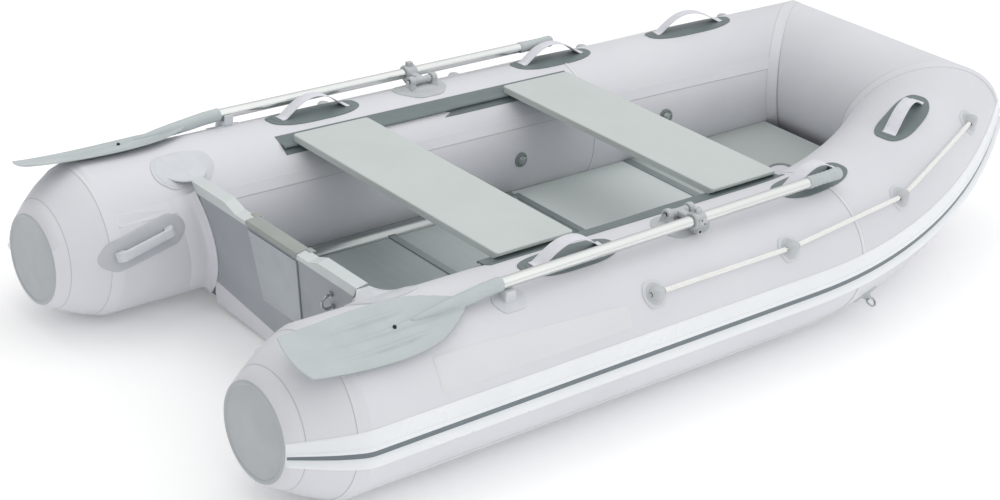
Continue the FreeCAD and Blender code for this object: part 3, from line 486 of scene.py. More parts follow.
def tubeRings(fromPlace=None):
    rings = []
    if fromPlace is None:
        for share in (1.0, 0.85, 0.68, 0.5, 0.3, 0.18, 0.10, 0.05):
            place = tail["startX"] + (tail["endX"] - tail["startX"]) * share
            rings.append(lambda a, h, p=place: skinPoint(p, a, h))
        fromPlace = tail["startX"]
    places = [fromPlace] + [p for p in (-1.1, -0.8, -0.5, -0.2, 0.0) if p > fromPlace]
    place = lines["bendX"]
    while place < mitrePlace - 0.2:
        places.append(place)
        place += tubeShape["bendStep"]
    lastPlace = places[-1]
    rings += [lambda a, h, p=place: skinPoint(p, a, h) for place in places]
    for step in range(1, tubeShape["mitreSteps"] + 1):
        share = step / tubeShape["mitreSteps"]
        rings.append(lambda a, h, t=share: skinPoint(lastPlace + (placeOnMitre(a, h) - lastPlace) * t, a, h))
    return rings


def bowRings():
    def between(angle, lift, share):
        corner = skinPoint(placeOnMitre(angle, lift), angle, lift)
        middle = bowPoint(0.0, angle, lift)
        blend = min(1.0, share * 4)
        return Vector((corner.x + (middle.x - corner.x) * blend, corner.y * (1 - share),
                       corner.z + (middle.z - corner.z) * blend))
    return [lambda a, h, t=share: between(a, h, t) for share in (0.08, 0.25, 0.5, 0.75, 1.0)]


def mirrorHalf(bm):
    bmesh.ops.mirror(bm, geom=bm.verts[:] + bm.edges[:] + bm.faces[:], matrix=Matrix(), merge_dist=1e-5, axis="Y")


circle = [(360.0 * i / tubeShape["sides"], 0.0) for i in range(tubeShape["sides"])]
bm = newMesh()
verts = sweepLoop(bm, circle, tubeRings() + bowRings())
middleFace = [face for face in bm.faces if len(face.verts) > 8 and abs(face.calc_center_median().y) < 1e-4]
bmesh.ops.delete(bm, geom=middleFace, context="FACES_ONLY")
mirrorHalf(bm)
finishPiece("airTubes", bm, [finish["hullPvc"]], nodes=["port_tube", "starboard_tube", "bow_tube"],
            slot="hull_fabric", sharp=60)

print("tubes made")

# ---- rub strake: a round bumper, a slate stripe in its groove, a rib and a flat band
strakeShape = {"low": -11.4, "bumper": -3.0, "stripe": 1.0, "rib": 3.8, "high": 14.4, "stand": 0.0138}


def drawStrake(bm):
    shape = strakeShape
    spots = [(shape["low"] - 0.1, 0.0002), (shape["low"], 0.0030)]
    for step in range(1, 10):
        share = step / 10
        spots.append((shape["low"] + (shape["bumper"] - shape["low"]) * share,
                      0.0034 + shape["stand"] * sin(pi * share) ** 0.7))
    spots += [(shape["bumper"], 0.0050), (shape["bumper"] + 0.1, 0.0044)]
    stripe = len(spots) - 1
    spots += [(shape["stripe"] - 0.1, 0.0046), (shape["stripe"], 0.0056), (shape["stripe"] + 0.3, 0.0062),
              (shape["rib"] - 0.4, 0.0060), (shape["rib"], 0.0050), (shape["rib"] + 0.3, 0.0032),
              (shape["high"] - 1.2, 0.0030), (shape["high"] - 1.0, 0.0022), (shape["high"] - 0.1, 0.0018),
              (shape["high"], 0.0002)]
    spots += [(angle, 0.0002) for angle in (12.0, 9.0, 6.0, 3.0, 0.0, -3.0, -6.0, -9.0)]
    paint = [1 if index == stripe else 0 for index in range(len(spots))]
    sweepLoop(bm, spots, tubeRings() + bowRings(), paint=paint)


bm = newMesh()
drawStrake(bm)
bmesh.ops.delete(bm, geom=[face for face in bm.faces if len(face.verts) > 8
                           and abs(face.calc_center_median().y) < 1e-4], context="FACES_ONLY")
mirrorHalf(bm)
finishPiece("rubStrake", bm, [finish["strakeWhite"], finish["strakeSlate"]], slot="strake_rubber", sharp=40,
            nodes=["port_rub_strake", "starboard_rub_strake", "bow_rub_strake"])
print("strake made")

# ---- seams: bands along and round the tubes, each with a darker line of painted shade at its edge, standing for the thin shadow along the band's raised edge
seams = {"bandLow": 141.0, "bandHigh": 150.0, "bandFrom": -1.338, "thick": 0.0009}


def bandSpots(low, high, thick, edge):
    return [(low, 0.0001), (low + edge, thick), (high - edge, thick), (high, 0.0001)]


def drawLongSeam(bm):
    rings = tubeRings(seams["bandFrom"])
    spots = bandSpots(seams["bandLow"], seams["bandHigh"], seams["thick"], 0.15)
    sweepLoop(bm, spots + [(145.5, 0.0001)], rings)
    low = tubeShape["seamLow"]
    sweepLoop(bm, bandSpots(low - 9.0, low, seams["thick"], 0.15) + [(low - 4.5, 0.0001)], rings)


# painted shade: a dark strip along the edge of each long band
def drawLongEdgeShade(bm):
    rings = tubeRings(seams["bandFrom"])
    for angle in (seams["bandHigh"], tubeShape["seamLow"]):
        sweepLoop(bm, bandSpots(angle + 0.02, angle + 0.45, 0.0005, 0.1), rings)


def drawRingBand(bm, low, high, thick, steps=96):
    spots = bandSpots(low, high, thick, min(0.0008, (high - low) / 4))
    rings = [lambda s, h, a=360.0 * i / steps: skinPoint(s, a, h) for i in range(steps + 1)]
    sweepLoop(bm, spots, rings, ends=False)


def drawMitreBand(bm, reach, thick, nearLine=False, steps=96):
    def onMitre(s, h, a):
        if s <= 0:
            return skinPoint(placeOnMitre(a, h) + s, a, h)
        corner = skinPoint(placeOnMitre(a, h), a, h)
        return corner + Vector((0, -s, 0))
    spots = [(-reach, 0.0001), (-reach + 0.0008, thick), (-0.0005, thick), (reach - 0.0008, thick), (reach, 0.0001)]
    if nearLine:
        spots = [(-reach - 0.0018, 0.0001), (-reach - 0.0012, 0.0004), (-reach - 0.0002, 0.0004), (-reach, 0.0001)]
    rings = [lambda s, h, a=360.0 * i / steps: onMitre(s, h, a) for i in range(steps + 1)]
    sweepLoop(bm, spots, rings, ends=False)
    if nearLine:
        spots = [(-s, h) for s, h in reversed(spots)]
        sweepLoop(bm, spots, rings, ends=False)


ringSeams = {"tailBand": (-1.371, -1.338), "tailLine": -1.371, "coneLine": -1.470, "baffle": (0.4135, 0.4265),
             "mitre": 0.022}


def drawRingSeams(bm):
    drawRingBand(bm, *ringSeams["tailBand"], 0.0010)
    drawRingBand(bm, ringSeams["baffle"][0], ringSeams["baffle"][1], 0.0016)
    drawMitreBand(bm, ringSeams["mitre"], 0.0010)


# painted shade: dark strips along the ring seams and beside the mitre band
def drawRingEdgeShade(bm):
    for place, width in ((ringSeams["tailLine"], 0.0024), (ringSeams["coneLine"], 0.0020),
                         (ringSeams["baffle"][0] - 0.001, 0.0016), (ringSeams["baffle"][1] + 0.001, 0.0016)):
        drawRingBand(bm, place - width / 2, place + width / 2, 0.0006)
    drawMitreBand(bm, ringSeams["mitre"], 0.0010, nearLine=True)


finishPair("LongSeam", drawLongSeam, [finish["seamPvc"]], slot="hull_fabric")
finishPair("LongEdgeShade", drawLongEdgeShade, [finish["seamEdgeShade"]], slot="hull_fabric")
finishPair("RingSeams", drawRingSeams, [finish["seamPvc"]], slot="hull_fabric")
finishPair("RingEdgeShades", drawRingEdgeShade, [finish["seamEdgeShade"]], slot="hull_fabric")

# ---- stern caps: domed fabric with a moulded rim
capShape = {"stations": ((0.0, 0.0036), (0.05, 0.0033), (0.09, 0.0026), (0.112, 0.0018), (0.1165, 0.0012),
                         (0.1185, 0.0030), (0.1215, 0.0040), (0.1255, 0.0036), (0.1283, 0.0014), (0.1290, -0.0010),
                         (0.1180, -0.0010), (0.0, -0.0006))}


def drawCap(bm):
    centre = Vector((tail["endX"], halfSpacing - tail["in"], tubeRadius - tail["down"]))
    addTurned(bm, capShape["stations"], along((-1, 0, 0), centre), steps=72)


finishPair("SternCap", drawCap, [finish["capPvc"]], slot="cap_rubber")
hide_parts("end_caps")

# ---- bottom: a shallow V of fabric between the tubes
bottomShape = {"edgeAngle": -122.8, "keelZ": 0.0057, "from": -1.0175, "to": 1.165}


def drawBottom(bm):
    shape = bottomShape

    def edgeAt(x):
        place = x
        for _ in range(8):
            place += x - skinPoint(place, shape["edgeAngle"], 0.002).x
        return skinPoint(place, shape["edgeAngle"], 0.002)

    def section(t, h, x):
        edge = edgeAt(x)
        keel = shape["keelZ"] + risen(x)
        sag = 0.004 * sin(pi * abs(t)) if abs(t) < 1 else 0.0
        return Vector((x, edge.y * t, keel + (edge.z - keel) * abs(t) + sag + h))
    across = [-1 + i / 10 for i in range(21)]
    spots = [(t, 0.0) for t in across] + [(t, 0.003) for t in reversed(across)]
    count = 26
    xs = [shape["from"] + (shape["to"] - shape["from"]) * i / count for i in range(count + 1)]
    sweepLoop(bm, spots, [lambda t, h, x=x: section(t, h, x) for x in xs])


bm = newMesh()
drawBottom(bm)
finishPiece("bottomFabric", bm, [finish["hullPvc"]], nodes=["bottom_skin"], slot="hull_fabric")
print("seams, caps and bottom made")

# ---- transom: fabric coves at its sides, a fabric skirt at its foot, corner brackets, rivets, a lip over the notch
coveShape = {"low": 139.0, "high": 226.0,
             "spots": ((-0.072, 0.0003), (-0.0705, 0.0012), (-0.026, 0.0018), (-0.017, 0.0034), (-0.0115, 0.0070),
                       (-0.0085, 0.0125), (-0.0072, 0.0180), (-0.0058, 0.0235), (-0.0030, 0.0262),
                       (-0.0004, 0.0255), (-0.0004, 0.0148), (0.0310, 0.0148), (0.0310, 0.0255),
                       (0.0336, 0.0255), (0.0362, 0.0180), (0.0395, 0.0110), (0.0450, 0.0055), (0.0540, 0.0020),
                       (0.0800, 0.0012), (0.0815, 0.0003))}


def drawCove(bm):
    def spotAt(depth, lift, angle):
        height = tubeRadius + (tubeRadius + lift) * sin(radians(angle))
        return skinPoint(transomPoint(0, height).x + depth, angle, lift)
    steps = 30
    angles = [coveShape["low"] + (coveShape["high"] - coveShape["low"]) * i / steps for i in range(steps + 1)]
    sweepLoop(bm, list(coveShape["spots"]), [lambda d, h, a=a: spotAt(d, h, a) for a in angles])


finishPair("TransomCove", drawCove, [finish["seamPvc"]], slot="hull_fabric", sharp=50)
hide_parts("transom_gussets")


def drawSkirt(bm):
    spots = [(-0.0050, 0.030), (-0.0020, 0.031), (-0.0006, 0.024), (-0.0006, -0.002), (0.006, -0.018),
             (0.022, -0.0215), (0.022, -0.0235), (0.003, -0.0205), (-0.0040, -0.006)]

    def spotAt(dx, dz, y):
        foot = 0.027 + (0.079 - 0.027) * abs(y) / 0.358
        skin = 0.0057 + (0.031 - 0.0057) * abs(y) / 0.437
        fall = (foot - skin) / 0.0215
        return transomPoint(y, foot) + Vector((dx, 0, dz if dz > 0 else dz * fall))
    ys = [-0.352, -0.2, -0.1, -0.02, 0.0, 0.02, 0.1, 0.2, 0.352]
    sweepLoop(bm, spots, [lambda dx, dz, y=y: spotAt(dx, dz, y) for y in ys])


bm = newMesh()
drawSkirt(bm)
finishPiece("transomSkirt", bm, [finish["seamPvc"]], slot="hull_fabric", sharp=50)

bracketShape = {"place": -1.08175, "angle": 117.0, "thick": 0.0026, "cornerY": 0.386, "cornerZ": 0.412,
                "outline": [(-0.100, 0.010), (-0.070, 0.056), (0.020, 0.062), (0.088, 0.044), (0.100, -0.008),
                            (0.060, -0.060), (-0.060, -0.066), (-0.098, -0.030)]}


def drawBracket(bm):
    shape = bracketShape
    flatPatch(bm, shape["outline"], 0.018, shape["thick"])
    rim = newMesh()
    flatPatch(rim, [(u * 0.90, v * 0.90 - 0.001) for u, v in shape["outline"]], 0.016, 0.0012, edge=0.0005)
    for vert in rim.verts:
        vert.co.z += shape["thick"] - 0.0004
    joinInto(bm, rim)
    wrapOnTube(bm.verts, shape["place"], shape["angle"], lift=0.0004)
    web = bmesh.ops.create_grid(bm, x_segments=14, y_segments=10, size=0.5)["verts"]
    for vert in web:
        across, down = vert.co.x * 2, 0.5 - vert.co.y
        wide = skinPoint(shape["place"] + 0.066 * across, shape["angle"] + 1.0 + 5.0 * (across ** 2), 0.0036)
        corner = transomPoint(shape["cornerY"], shape["cornerZ"]) + Vector((0.0155 + 0.0195 * across, 0, 0))
        vert.co = wide.lerp(corner, down)
        vert.co.z += -0.006 * sin(pi * down) + 0.010 * sin(pi * down) * (1 - abs(across))
    faces = list({face for vert in web for face in vert.link_faces})
    bmesh.ops.recalc_face_normals(bm, faces=faces)
    bmesh.ops.solidify(bm, geom=faces, thickness=0.0035)


finishPair("TransomBracket", drawBracket, [finish["palePatch"]], slot="fitting_plastic")
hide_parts("transom_brackets")

plateShape = {"rivets": ((0.100, 0.352), (-0.096, 0.352), (0.079, 0.170), (-0.077, 0.170)), "half": 0.112,
              "top": 0.372, "footHalf": 0.089, "foot": 0.158}


def drawRivets(bm):
    aft = Vector((-1, 0, -lines["rake"])).normalized()
    for y, z in plateShape["rivets"]:
        addTurned(bm, ((0, 0.0016), (0.0022, 0.0013), (0.0036, 0.0004), (0.0038, -0.0008), (0, -0.0008)),
                  along(aft, transomPoint(y, z, -0.0042)), steps=16)


bm = newMesh()
drawRivets(bm)
finishPiece("plateRivets", bm, [finish["stainless"]], slot="stainless_steel")


# painted shade: thin dark strips down the motor plate's sides stand for the shadowed side faces of the plate
def drawPlateEdgeShade(bm):
    shape = plateShape
    for side in (1, -1):
        corners = [transomPoint(side * (shape["half"] + 0.0012), shape["top"] - 0.002, -0.0022),
                   transomPoint(side * (shape["footHalf"] + 0.0012), shape["foot"] + 0.002, -0.0022)]
        run = corners[1] - corners[0]
        turn = run.to_track_quat("Z", "Y").to_matrix().to_4x4()
        addBlock(bm, (0.0040, 0.0024, run.length), (0, 0, run.length / 2), 0.0008,
                 matrix=Matrix.Translation(corners[0]) @ turn)


bm = newMesh()
drawPlateEdgeShade(bm)
finishPiece("plateEdgeShade", bm, [finish["fittingDarkAndEdgeShade"]], slot="motor_plate_plastic")

lipShape = {"half": 0.118, "spots": ((-0.0052, -0.004), (-0.0052, 0.0062), (-0.0030, 0.0086), (0.0340, 0.0086),
                                     (0.0400, 0.0066), (0.0415, 0.0010), (0.0415, -0.020), (0.0398, -0.020),
                                     (0.0392, 0.0005), (0.0375, 0.0052), (0.0335, 0.0062), (-0.0024, 0.0062),
                                     (-0.0034, 0.0052), (-0.0034, -0.004))}


def drawLip(bm):
    def spotAt(depth, up, y):
        at = transomPoint(y, 0.390, depth)
        return Vector((at.x, y, 0.390 + depth * 0.10 + up))
    half = lipShape["half"]
    ys = [-half, -half + 0.002, -0.06, 0.0, 0.06, half - 0.002, half]
    sweepLoop(bm, list(lipShape["spots"]), [lambda d, u, y=y: spotAt(d, u, y) for y in ys])
    for side in (1, -1):
        addBlock(bm, (0.020, 0.026, 0.0045), (0, 0, 0), 0.0015,
                 matrix=Matrix.Translation(spotAt(0.036, 0.0065, side * (half + 0.008))))


bm = newMesh()
drawLip(bm)
finishPiece("notchLip", bm, [finish["plateWarm"]], slot="motor_plate_plastic", sharp=40)

boltShape = {"y": -0.260, "z": 0.321, "half": 0.019}


def drawBoltNuts(bm):
    aft = Vector((-1, 0, -lines["rake"])).normalized()
    up = Vector((-lines["rake"], 0, 1)).normalized()
    for side in (1, -1):
        at = transomPoint(boltShape["y"], boltShape["z"]) + up * boltShape["half"] * side
        turn = along(aft, at)
        addTurned(bm, ((0.0042, 0.0), (0.0100, 0.0), (0.0102, 0.0012), (0.0090, 0.0018), (0.0042, 0.0018)), turn, 24)
        addTurned(bm, ((0.0042, 0.0018), (0.0080, 0.0018), (0.0080, 0.0075), (0.0070, 0.0085), (0.0042, 0.0085)),
                  turn, 6)


bm = newMesh()
drawBoltNuts(bm)
finishPiece("boltNuts", bm, [finish["stainless"]], slot="stainless_steel", sharp=30)
print("transom made")

# ---- handles: a slate patch with a webbing loop over it
handleShape = {"places": (-0.56175, 0.39425, 0.96225), "angles": (87.0, 86.0, 84.0), "halfLength": 0.160,
               "halfWidth": 0.056, "thick": 0.0024, "loopHalf": 0.110, "loopHeight": 0.050, "loopWidth": 0.042,
               "loopThick": 0.0026}


def ovalOutline(length, width, nose=0.36, shoulder=0.75):
    inset = width * shoulder
    port = [(-length, width * nose), (-length + inset, width), (length - inset, width), (length, width * nose)]
    return [(u, -v) for u, v in port] + [(u, v) for u, v in reversed(port)]


def roundOutline(length, width, steps=48, power=0.56):
    outline = []
    for index in range(steps):
        a = 2 * pi * (index + 0.5) / steps
        u = length * abs(cos(a)) ** power * (1 if cos(a) > 0 else -1)
        v = width * abs(sin(a)) ** power * (1 if sin(a) > 0 else -1)
        outline.append((u, v * (1 - 0.22 * abs(u / length) ** 3)))
    return outline


def drawHandlePatches(bm):
    shape = handleShape
    for place, angle in zip(shape["places"], shape["angles"]):
        flat = newMesh()
        flatPatch(flat, roundOutline(shape["halfLength"], shape["halfWidth"]), 0, shape["thick"])
        wrapOnTube(flat.verts, place, angle, lift=0.0004)
        joinInto(bm, flat)
        for end in (-1, 1):
            rim = newMesh()
            flatPatch(rim, [(end * u, end * v) for u, v in
                            [(0.122, -0.030), (0.140, -0.018), (0.140, 0.018), (0.122, 0.030), (0.126, 0.016),
                             (0.126, -0.016)]], 0.004, 0.0011, edge=0.0004)
            wrapOnTube(rim.verts, place, angle, lift=0.0004 + shape["thick"] - 0.0003)
            joinInto(bm, rim)


finishPair("HandlePatches", drawHandlePatches, [finish["slatePvc"]], slot="slate_pvc")
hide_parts("handle_patches")


def loopHeightAt(u):
    share = min(1.0, abs(u) / handleShape["loopHalf"])
    return handleShape["loopHeight"] * (1 - share ** 2.1) ** 1.25


def drawStraps(bm):
    shape = handleShape
    uvLayer = bm.loops.layers.uv.new("flat")
    foot = 0.0004 + shape["thick"] + 0.0004
    for place, angle in zip(shape["places"], shape["angles"]):
        half, thick = shape["loopWidth"] / 2, shape["loopThick"]
        spots = [(-half, 0.0), (-half, thick * 0.7), (-half * 0.93, thick), (half * 0.93, thick), (half, thick * 0.7),
                 (half, 0.0)]
        steps = 40
        us = [-shape["loopHalf"] - 0.012 + (2 * shape["loopHalf"] + 0.024) * i / steps for i in range(steps + 1)]

        def spotAt(v, h, u, place=place, angle=angle):
            slope = (loopHeightAt(u + 0.001) - loopHeightAt(u - 0.001)) / 0.002
            lean = 1 / sqrt(1 + slope ** 2)
            narrow = 1 - 0.10 * (1 - min(1.0, abs(u) / shape["loopHalf"])) ** 2
            at = spotMatrix(place, angle)
            drop = skinPoint(place + u, angle, foot)
            base = at @ Vector((u - h * slope * lean, v * narrow, 0))
            lift = (at.to_3x3() @ Vector((0, 0, 1))) * (loopHeightAt(u) + h * lean)
            level = (drop - skinPoint(place, angle, 0)).dot(at.to_3x3() @ Vector((0, 0, 1)))
            edge = sqrt(max(0.0, tubeRadius ** 2 - (v * narrow) ** 2)) - tubeRadius
            sag = edge * min(1.0, abs(u) / shape["loopHalf"]) ** 3
            return base + lift + (at.to_3x3() @ Vector((0, 0, 1))) * (level + sag)
        before = set(bm.faces)
        sweepLoop(bm, spots, [lambda v, h, u=u: spotAt(v, h, u) for u in us])
        inverse = spotMatrix(place, angle).inverted()
        for face in set(bm.faces) - before:
            for loop in face.loops:
                at = inverse @ loop.vert.co
                loop[uvLayer].uv = (at.x, at.y)


finishPair("HandleStraps", drawStraps, [finish["webbing"]], nodes=["{side}_handle_straps"], slot="webbing")
print("handles made")

# ---- stern grab handles
grabShape = {"place": -1.27375, "angle": 165.0, "slant": 13.0, "halfLength": 0.134, "halfWidth": 0.046,
             "barHalf": 0.093}


def drawGrabPatch(bm):
    shape = grabShape
    flatPatch(bm, ovalOutline(shape["halfLength"], shape["halfWidth"]), 0.014, 0.0022)
    wrapOnTube(bm.verts, shape["place"], shape["angle"], shape["slant"], 0.0004)


def drawGrabBar(bm):
    shape = grabShape
    turn = spotMatrix(shape["place"], shape["angle"], shape["slant"])
    half = shape["barHalf"]
    profile = [(-half, 0.002), (-half + 0.006, 0.024), (-half + 0.016, 0.032), (half - 0.016, 0.032),
               (half - 0.006, 0.024), (half, 0.002), (half - 0.026, 0.002), (half - 0.030, 0.017),
               (half - 0.036, 0.020), (-half + 0.036, 0.020), (-half + 0.030, 0.017), (-half + 0.026, 0.002)]
    verts = [bm.verts.new((u, -0.013, h)) for u, h in profile]
    face = bm.faces.new(verts)
    grown = bmesh.ops.extrude_face_region(bm, geom=[face])["geom"]
    top = [v for v in grown if isinstance(v, bmesh.types.BMVert)]
    bmesh.ops.translate(bm, vec=(0, 0.026, 0), verts=top)
    bmesh.ops.recalc_face_normals(bm, faces=bm.faces)
    edges = [e for e in bm.edges if e.calc_face_angle(0) > 0.6]
    bmesh.ops.bevel(bm, geom=edges, offset=0.0030, segments=3, profile=0.5, affect="EDGES", material=-1)
    for vert in bm.verts:
        share = abs(vert.co.x) / half
        vert.co.y *= 0.82 + 0.30 * share ** 2
    addBlock(bm, (0.096, 0.017, 0.0016), (0, 0, 0.0322), 0.0006)
    bmesh.ops.transform(bm, matrix=turn, verts=bm.verts)
    for end in (-1, 1):
        addTurned(bm, ((0, 0.0010), (0.0030, 0.0008), (0.0036, -0.0004)), turn @ Matrix.Translation(
            (end * (half - 0.012), 0, 0.0275)) @ Matrix.Rotation(radians(38 * end), 4, "Y"), 14)


finishPair("GrabPatch", drawGrabPatch, [makeFinish("grabFilm", "#C0C3C8", "#B8BBC0", 0.36, 0.05, 0.6)],
           slot="fitting_plastic")
finishPair("GrabBar", drawGrabBar, [finish["palePatch"]], slot="fitting_plastic", sharp=30)
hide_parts("stern_handles")

# ---- blank panels on the quarter
panelShape = {"from": -1.124, "to": -0.494, "low": 21.5, "highAft": 46.0, "highFore": 37.0}


def drawPanel(bm):
    shape = panelShape
    middle = (shape["from"] + shape["to"]) / 2
    half = (shape["to"] - shape["from"]) / 2
    centre = 33.0
    arc = radians(1) * tubeRadius
    outline = [(-half, (centre - shape["low"]) * arc), (-half, (centre - shape["highAft"]) * arc),
               (half, (centre - shape["highFore"]) * arc), (half, (centre - shape["low"]) * arc)]
    flatPatch(bm, outline, 0.014, 0.0006, edge=0.0003, slice=0.010)
    wrapOnTube(bm.verts, middle, centre, lift=0.0001)


finishPair("BlankPanel", drawPanel, [makeFinish("panelFilm", "#DCDDE0", "#D6D7DA", 0.34, 0.3, 0.5)],
           slot="hull_fabric")

# ---- grab line: a braided rope pulled tight over the tube, through moulded eyes
lineShape = {"places": (-0.39375, 0.13025, 0.64225, 1.16425), "angle": 38.5, "lift": 0.0128, "strands": 4,
             "pitch": 0.040, "step": 0.0034, "reach": 0.0046, "wide": 0.0031, "thin": 0.0021}


# slides a straight chord out onto the skin
def ontoSkin(point, lift):
    place = point.x
    for _ in range(8):
        centre = skinPoint(place, 0, -tubeRadius)
        place += (point - centre).dot(headingAt(place))
    centre = skinPoint(place, 0, -tubeRadius)
    out = (point - centre).normalized()
    return centre + out * (tubeRadius + lift), out


def drawRope(bm):
    shape = lineShape
    corners = [skinPoint(p, shape["angle"], shape["lift"]) for p in shape["places"]]
    points = []
    for start, end in zip(corners, corners[1:]):
        count = int((end - start).length / shape["step"])
        points += [ontoSkin(start.lerp(end, i / count), shape["lift"]) for i in range(count)]
    points.append(ontoSkin(corners[-1], shape["lift"]))
    travelled, frames = 0.0, []
    for index, (at, out) in enumerate(points):
        if index:
            travelled += (at - points[index - 1][0]).length
        forward = (points[min(index + 1, len(points) - 1)][0] - points[max(index - 1, 0)][0]).normalized()
        side = forward.cross(out).normalized()
        frames.append((at, side.cross(forward), side, travelled))
    sides = 6
    for way in (1, -1):
        for strand in range(shape["strands"]):
            def spotAt(p, q, frame, way=way, strand=strand):
                at, out, side, run = frame
                turn = way * 2 * pi * run / shape["pitch"] + 2 * pi * strand / shape["strands"]
                over = shape["reach"] + way * 0.0007 * cos(2 * shape["strands"] * pi * run * 2 / shape["pitch"])
                spoke = out * cos(turn) + side * sin(turn)
                round_ = side * cos(turn) - out * sin(turn)
                return at + spoke * (over + p) + round_ * q
            spots = [(shape["thin"] * cos(2 * pi * i / sides), shape["wide"] * sin(2 * pi * i / sides))
                     for i in range(sides)]
            sweepLoop(bm, spots, [lambda p, q, f=frame: spotAt(p, q, f) for frame in frames])


finishPair("GrabLine", drawRope, [finish["ropeYarn"]], slot="rope_braid", sharp=180)
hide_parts("lifelines")

eyeShape = {"outline": [(-0.044, 0.0), (-0.026, 0.038), (0.026, 0.038), (0.044, 0.0), (0.026, -0.038),
                        (-0.026, -0.038)], "dome": (0.0265, 0.0225, 0.0330)}


def drawEyePatches(bm):
    for place in lineShape["places"]:
        flat = newMesh()
        flatPatch(flat, eyeShape["outline"], 0.014, 0.0026)
        wrapOnTube(flat.verts, place, lineShape["angle"], lift=0.0004)
        joinInto(bm, flat)


def drawEyes(bm):
    for place in lineShape["places"]:
        turn = spotMatrix(place, lineShape["angle"], lift=0.002)
        dome = newMesh()
        bmesh.ops.create_uvsphere(dome, u_segments=32, v_segments=20, radius=1.0)
        bmesh.ops.scale(dome, vec=eyeShape["dome"], verts=dome.verts)
        bmesh.ops.bisect_plane(dome, geom=dome.verts[:] + dome.edges[:] + dome.faces[:], plane_co=(0, 0, -0.001),
                               plane_no=(0, 0, -1), clear_outer=True)
        for vert in dome.verts:
            flare = max(0.0, 1 - vert.co.z / 0.006)
            vert.co.x *= 1 + 0.22 * flare ** 2
            vert.co.y *= 1 + 0.28 * flare ** 2
            vert.co.z *= 1 - 0.10 * min(1.0, abs(vert.co.y) / 0.006) if vert.co.z > 0.010 else 1
        bmesh.ops.transform(dome, matrix=turn, verts=dome.verts)
        joinInto(bm, dome)
        for end in (-1, 1):
            addRing(bm, 0.0082, 0.0016, turn @ Matrix.Translation((end * 0.0225, 0, 0.0112))
                    @ Matrix.Rotation(radians(90), 4, "Y"), 20, 8)


# painted shade: dark plugs in the eyes' bores stand for the shade inside them
def drawEyeHoles(bm):
    for place in lineShape["places"]:
        turn = spotMatrix(place, lineShape["angle"], lift=0.002)
        for end in (-1, 1):
            addTurned(bm, ((0, 0.0012), (0.0080, 0.0012), (0.0080, -0.004), (0, -0.004)), turn
                      @ Matrix.Translation((end * 0.0222, 0, 0.0112)) @ Matrix.Rotation(radians(90 * end), 4, "Y"), 18)


finishPair("LineEyePatches", drawEyePatches, [finish["palePatch"]], slot="fitting_plastic", sharp=30)
finishPair("LineEyes", drawEyes, [finish["fittingNylon"]], slot="fitting_plastic", sharp=30)
finishPair("LineEyeHoles", drawEyeHoles, [finish["holeShade"]], slot="fitting_plastic")
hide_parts("lifeline_eyes")
print("grab line made")

# ---- bow tow rings
towShape = {"place": 0.51425, "angle": -37.0, "ring": 0.015, "wire": 0.0035}


def drawTowPatch(bm):
    shape = towShape
    flatPatch(bm, [(-0.044, 0), (-0.027, 0.032), (0.027, 0.032), (0.044, 0), (0.027, -0.032), (-0.027, -0.032)],
              0.012, 0.0022)
    wrapOnTube(bm.verts, shape["place"], shape["angle"], lift=0.0004)
    turn = spotMatrix(shape["place"], shape["angle"], lift=0.002)
    addTurned(bm, ((0, 0.012), (0.008, 0.0118), (0.0112, 0.010), (0.0125, 0.006), (0.0150, 0.0015), (0.020, 0.0)),
              turn, 28)
    addBlock(bm, (0.012, 0.018, 0.008), (0, 0, 0.013), 0.002, matrix=turn)


def drawTowRing(bm):
    shape = towShape
    turn = spotMatrix(shape["place"], shape["angle"], lift=0.0114 + shape["ring"])
    addRing(bm, shape["ring"], shape["wire"], turn @ Matrix.Rotation(radians(90), 4, "X"), 32, 12)


finishPair("TowPatch", drawTowPatch, [finish["fittingNylon"]], slot="fitting_plastic")
finishPair("TowRing", drawTowRing, [finish["stainless"]], slot="stainless_steel")
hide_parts("bow_tow_rings")

# ---- inflation valves: a dark collar with a three-winged cap
valveShape = {"places": ((0.08425, 176.0, False), (0.73225, 170.0, False), (0.08425, 176.0, True)),
              "collar": ((0.0, 0.0050), (0.0135, 0.0050), (0.0145, 0.0062), (0.0185, 0.0062), (0.0200, 0.0045),
                         (0.0235, 0.0035), (0.0242, 0.0012), (0.0244, -0.0006), (0.0, -0.0006)),
              "cap": ((0.0, 0.0105), (0.0060, 0.0105), (0.0075, 0.0098), (0.0120, 0.0092), (0.0130, 0.0080),
                      (0.0132, 0.0045), (0.0, 0.0045))}
for index, (place, angle, starboard) in enumerate(valveShape["places"]):
    bm = newMesh()
    turn = spotMatrix(place, angle)
    addTurned(bm, valveShape["cap"], turn, 30)
    for wing in range(3):
        spin = turn @ Matrix.Rotation(2 * pi * wing / 3 + 0.5, 4, "Z")
        addBlock(bm, (0.0170, 0.0042, 0.0052), (0.0078, 0, 0.0112), 0.0012, matrix=spin)
    finishPiece("valveCap%d" % (index + 1), bm, [finish["valveGrey"]], slot="fitting_plastic", mirror=starboard,
                nodes=["inflation_valves"] if index == 0 else (), sharp=30)
    bm = newMesh()
    addTurned(bm, valveShape["collar"], turn, 36)
    finishPiece("valveCollar%d" % (index + 1), bm, [finish["fittingDarkAndEdgeShade"]], slot="fitting_plastic",
                mirror=starboard, sharp=30)

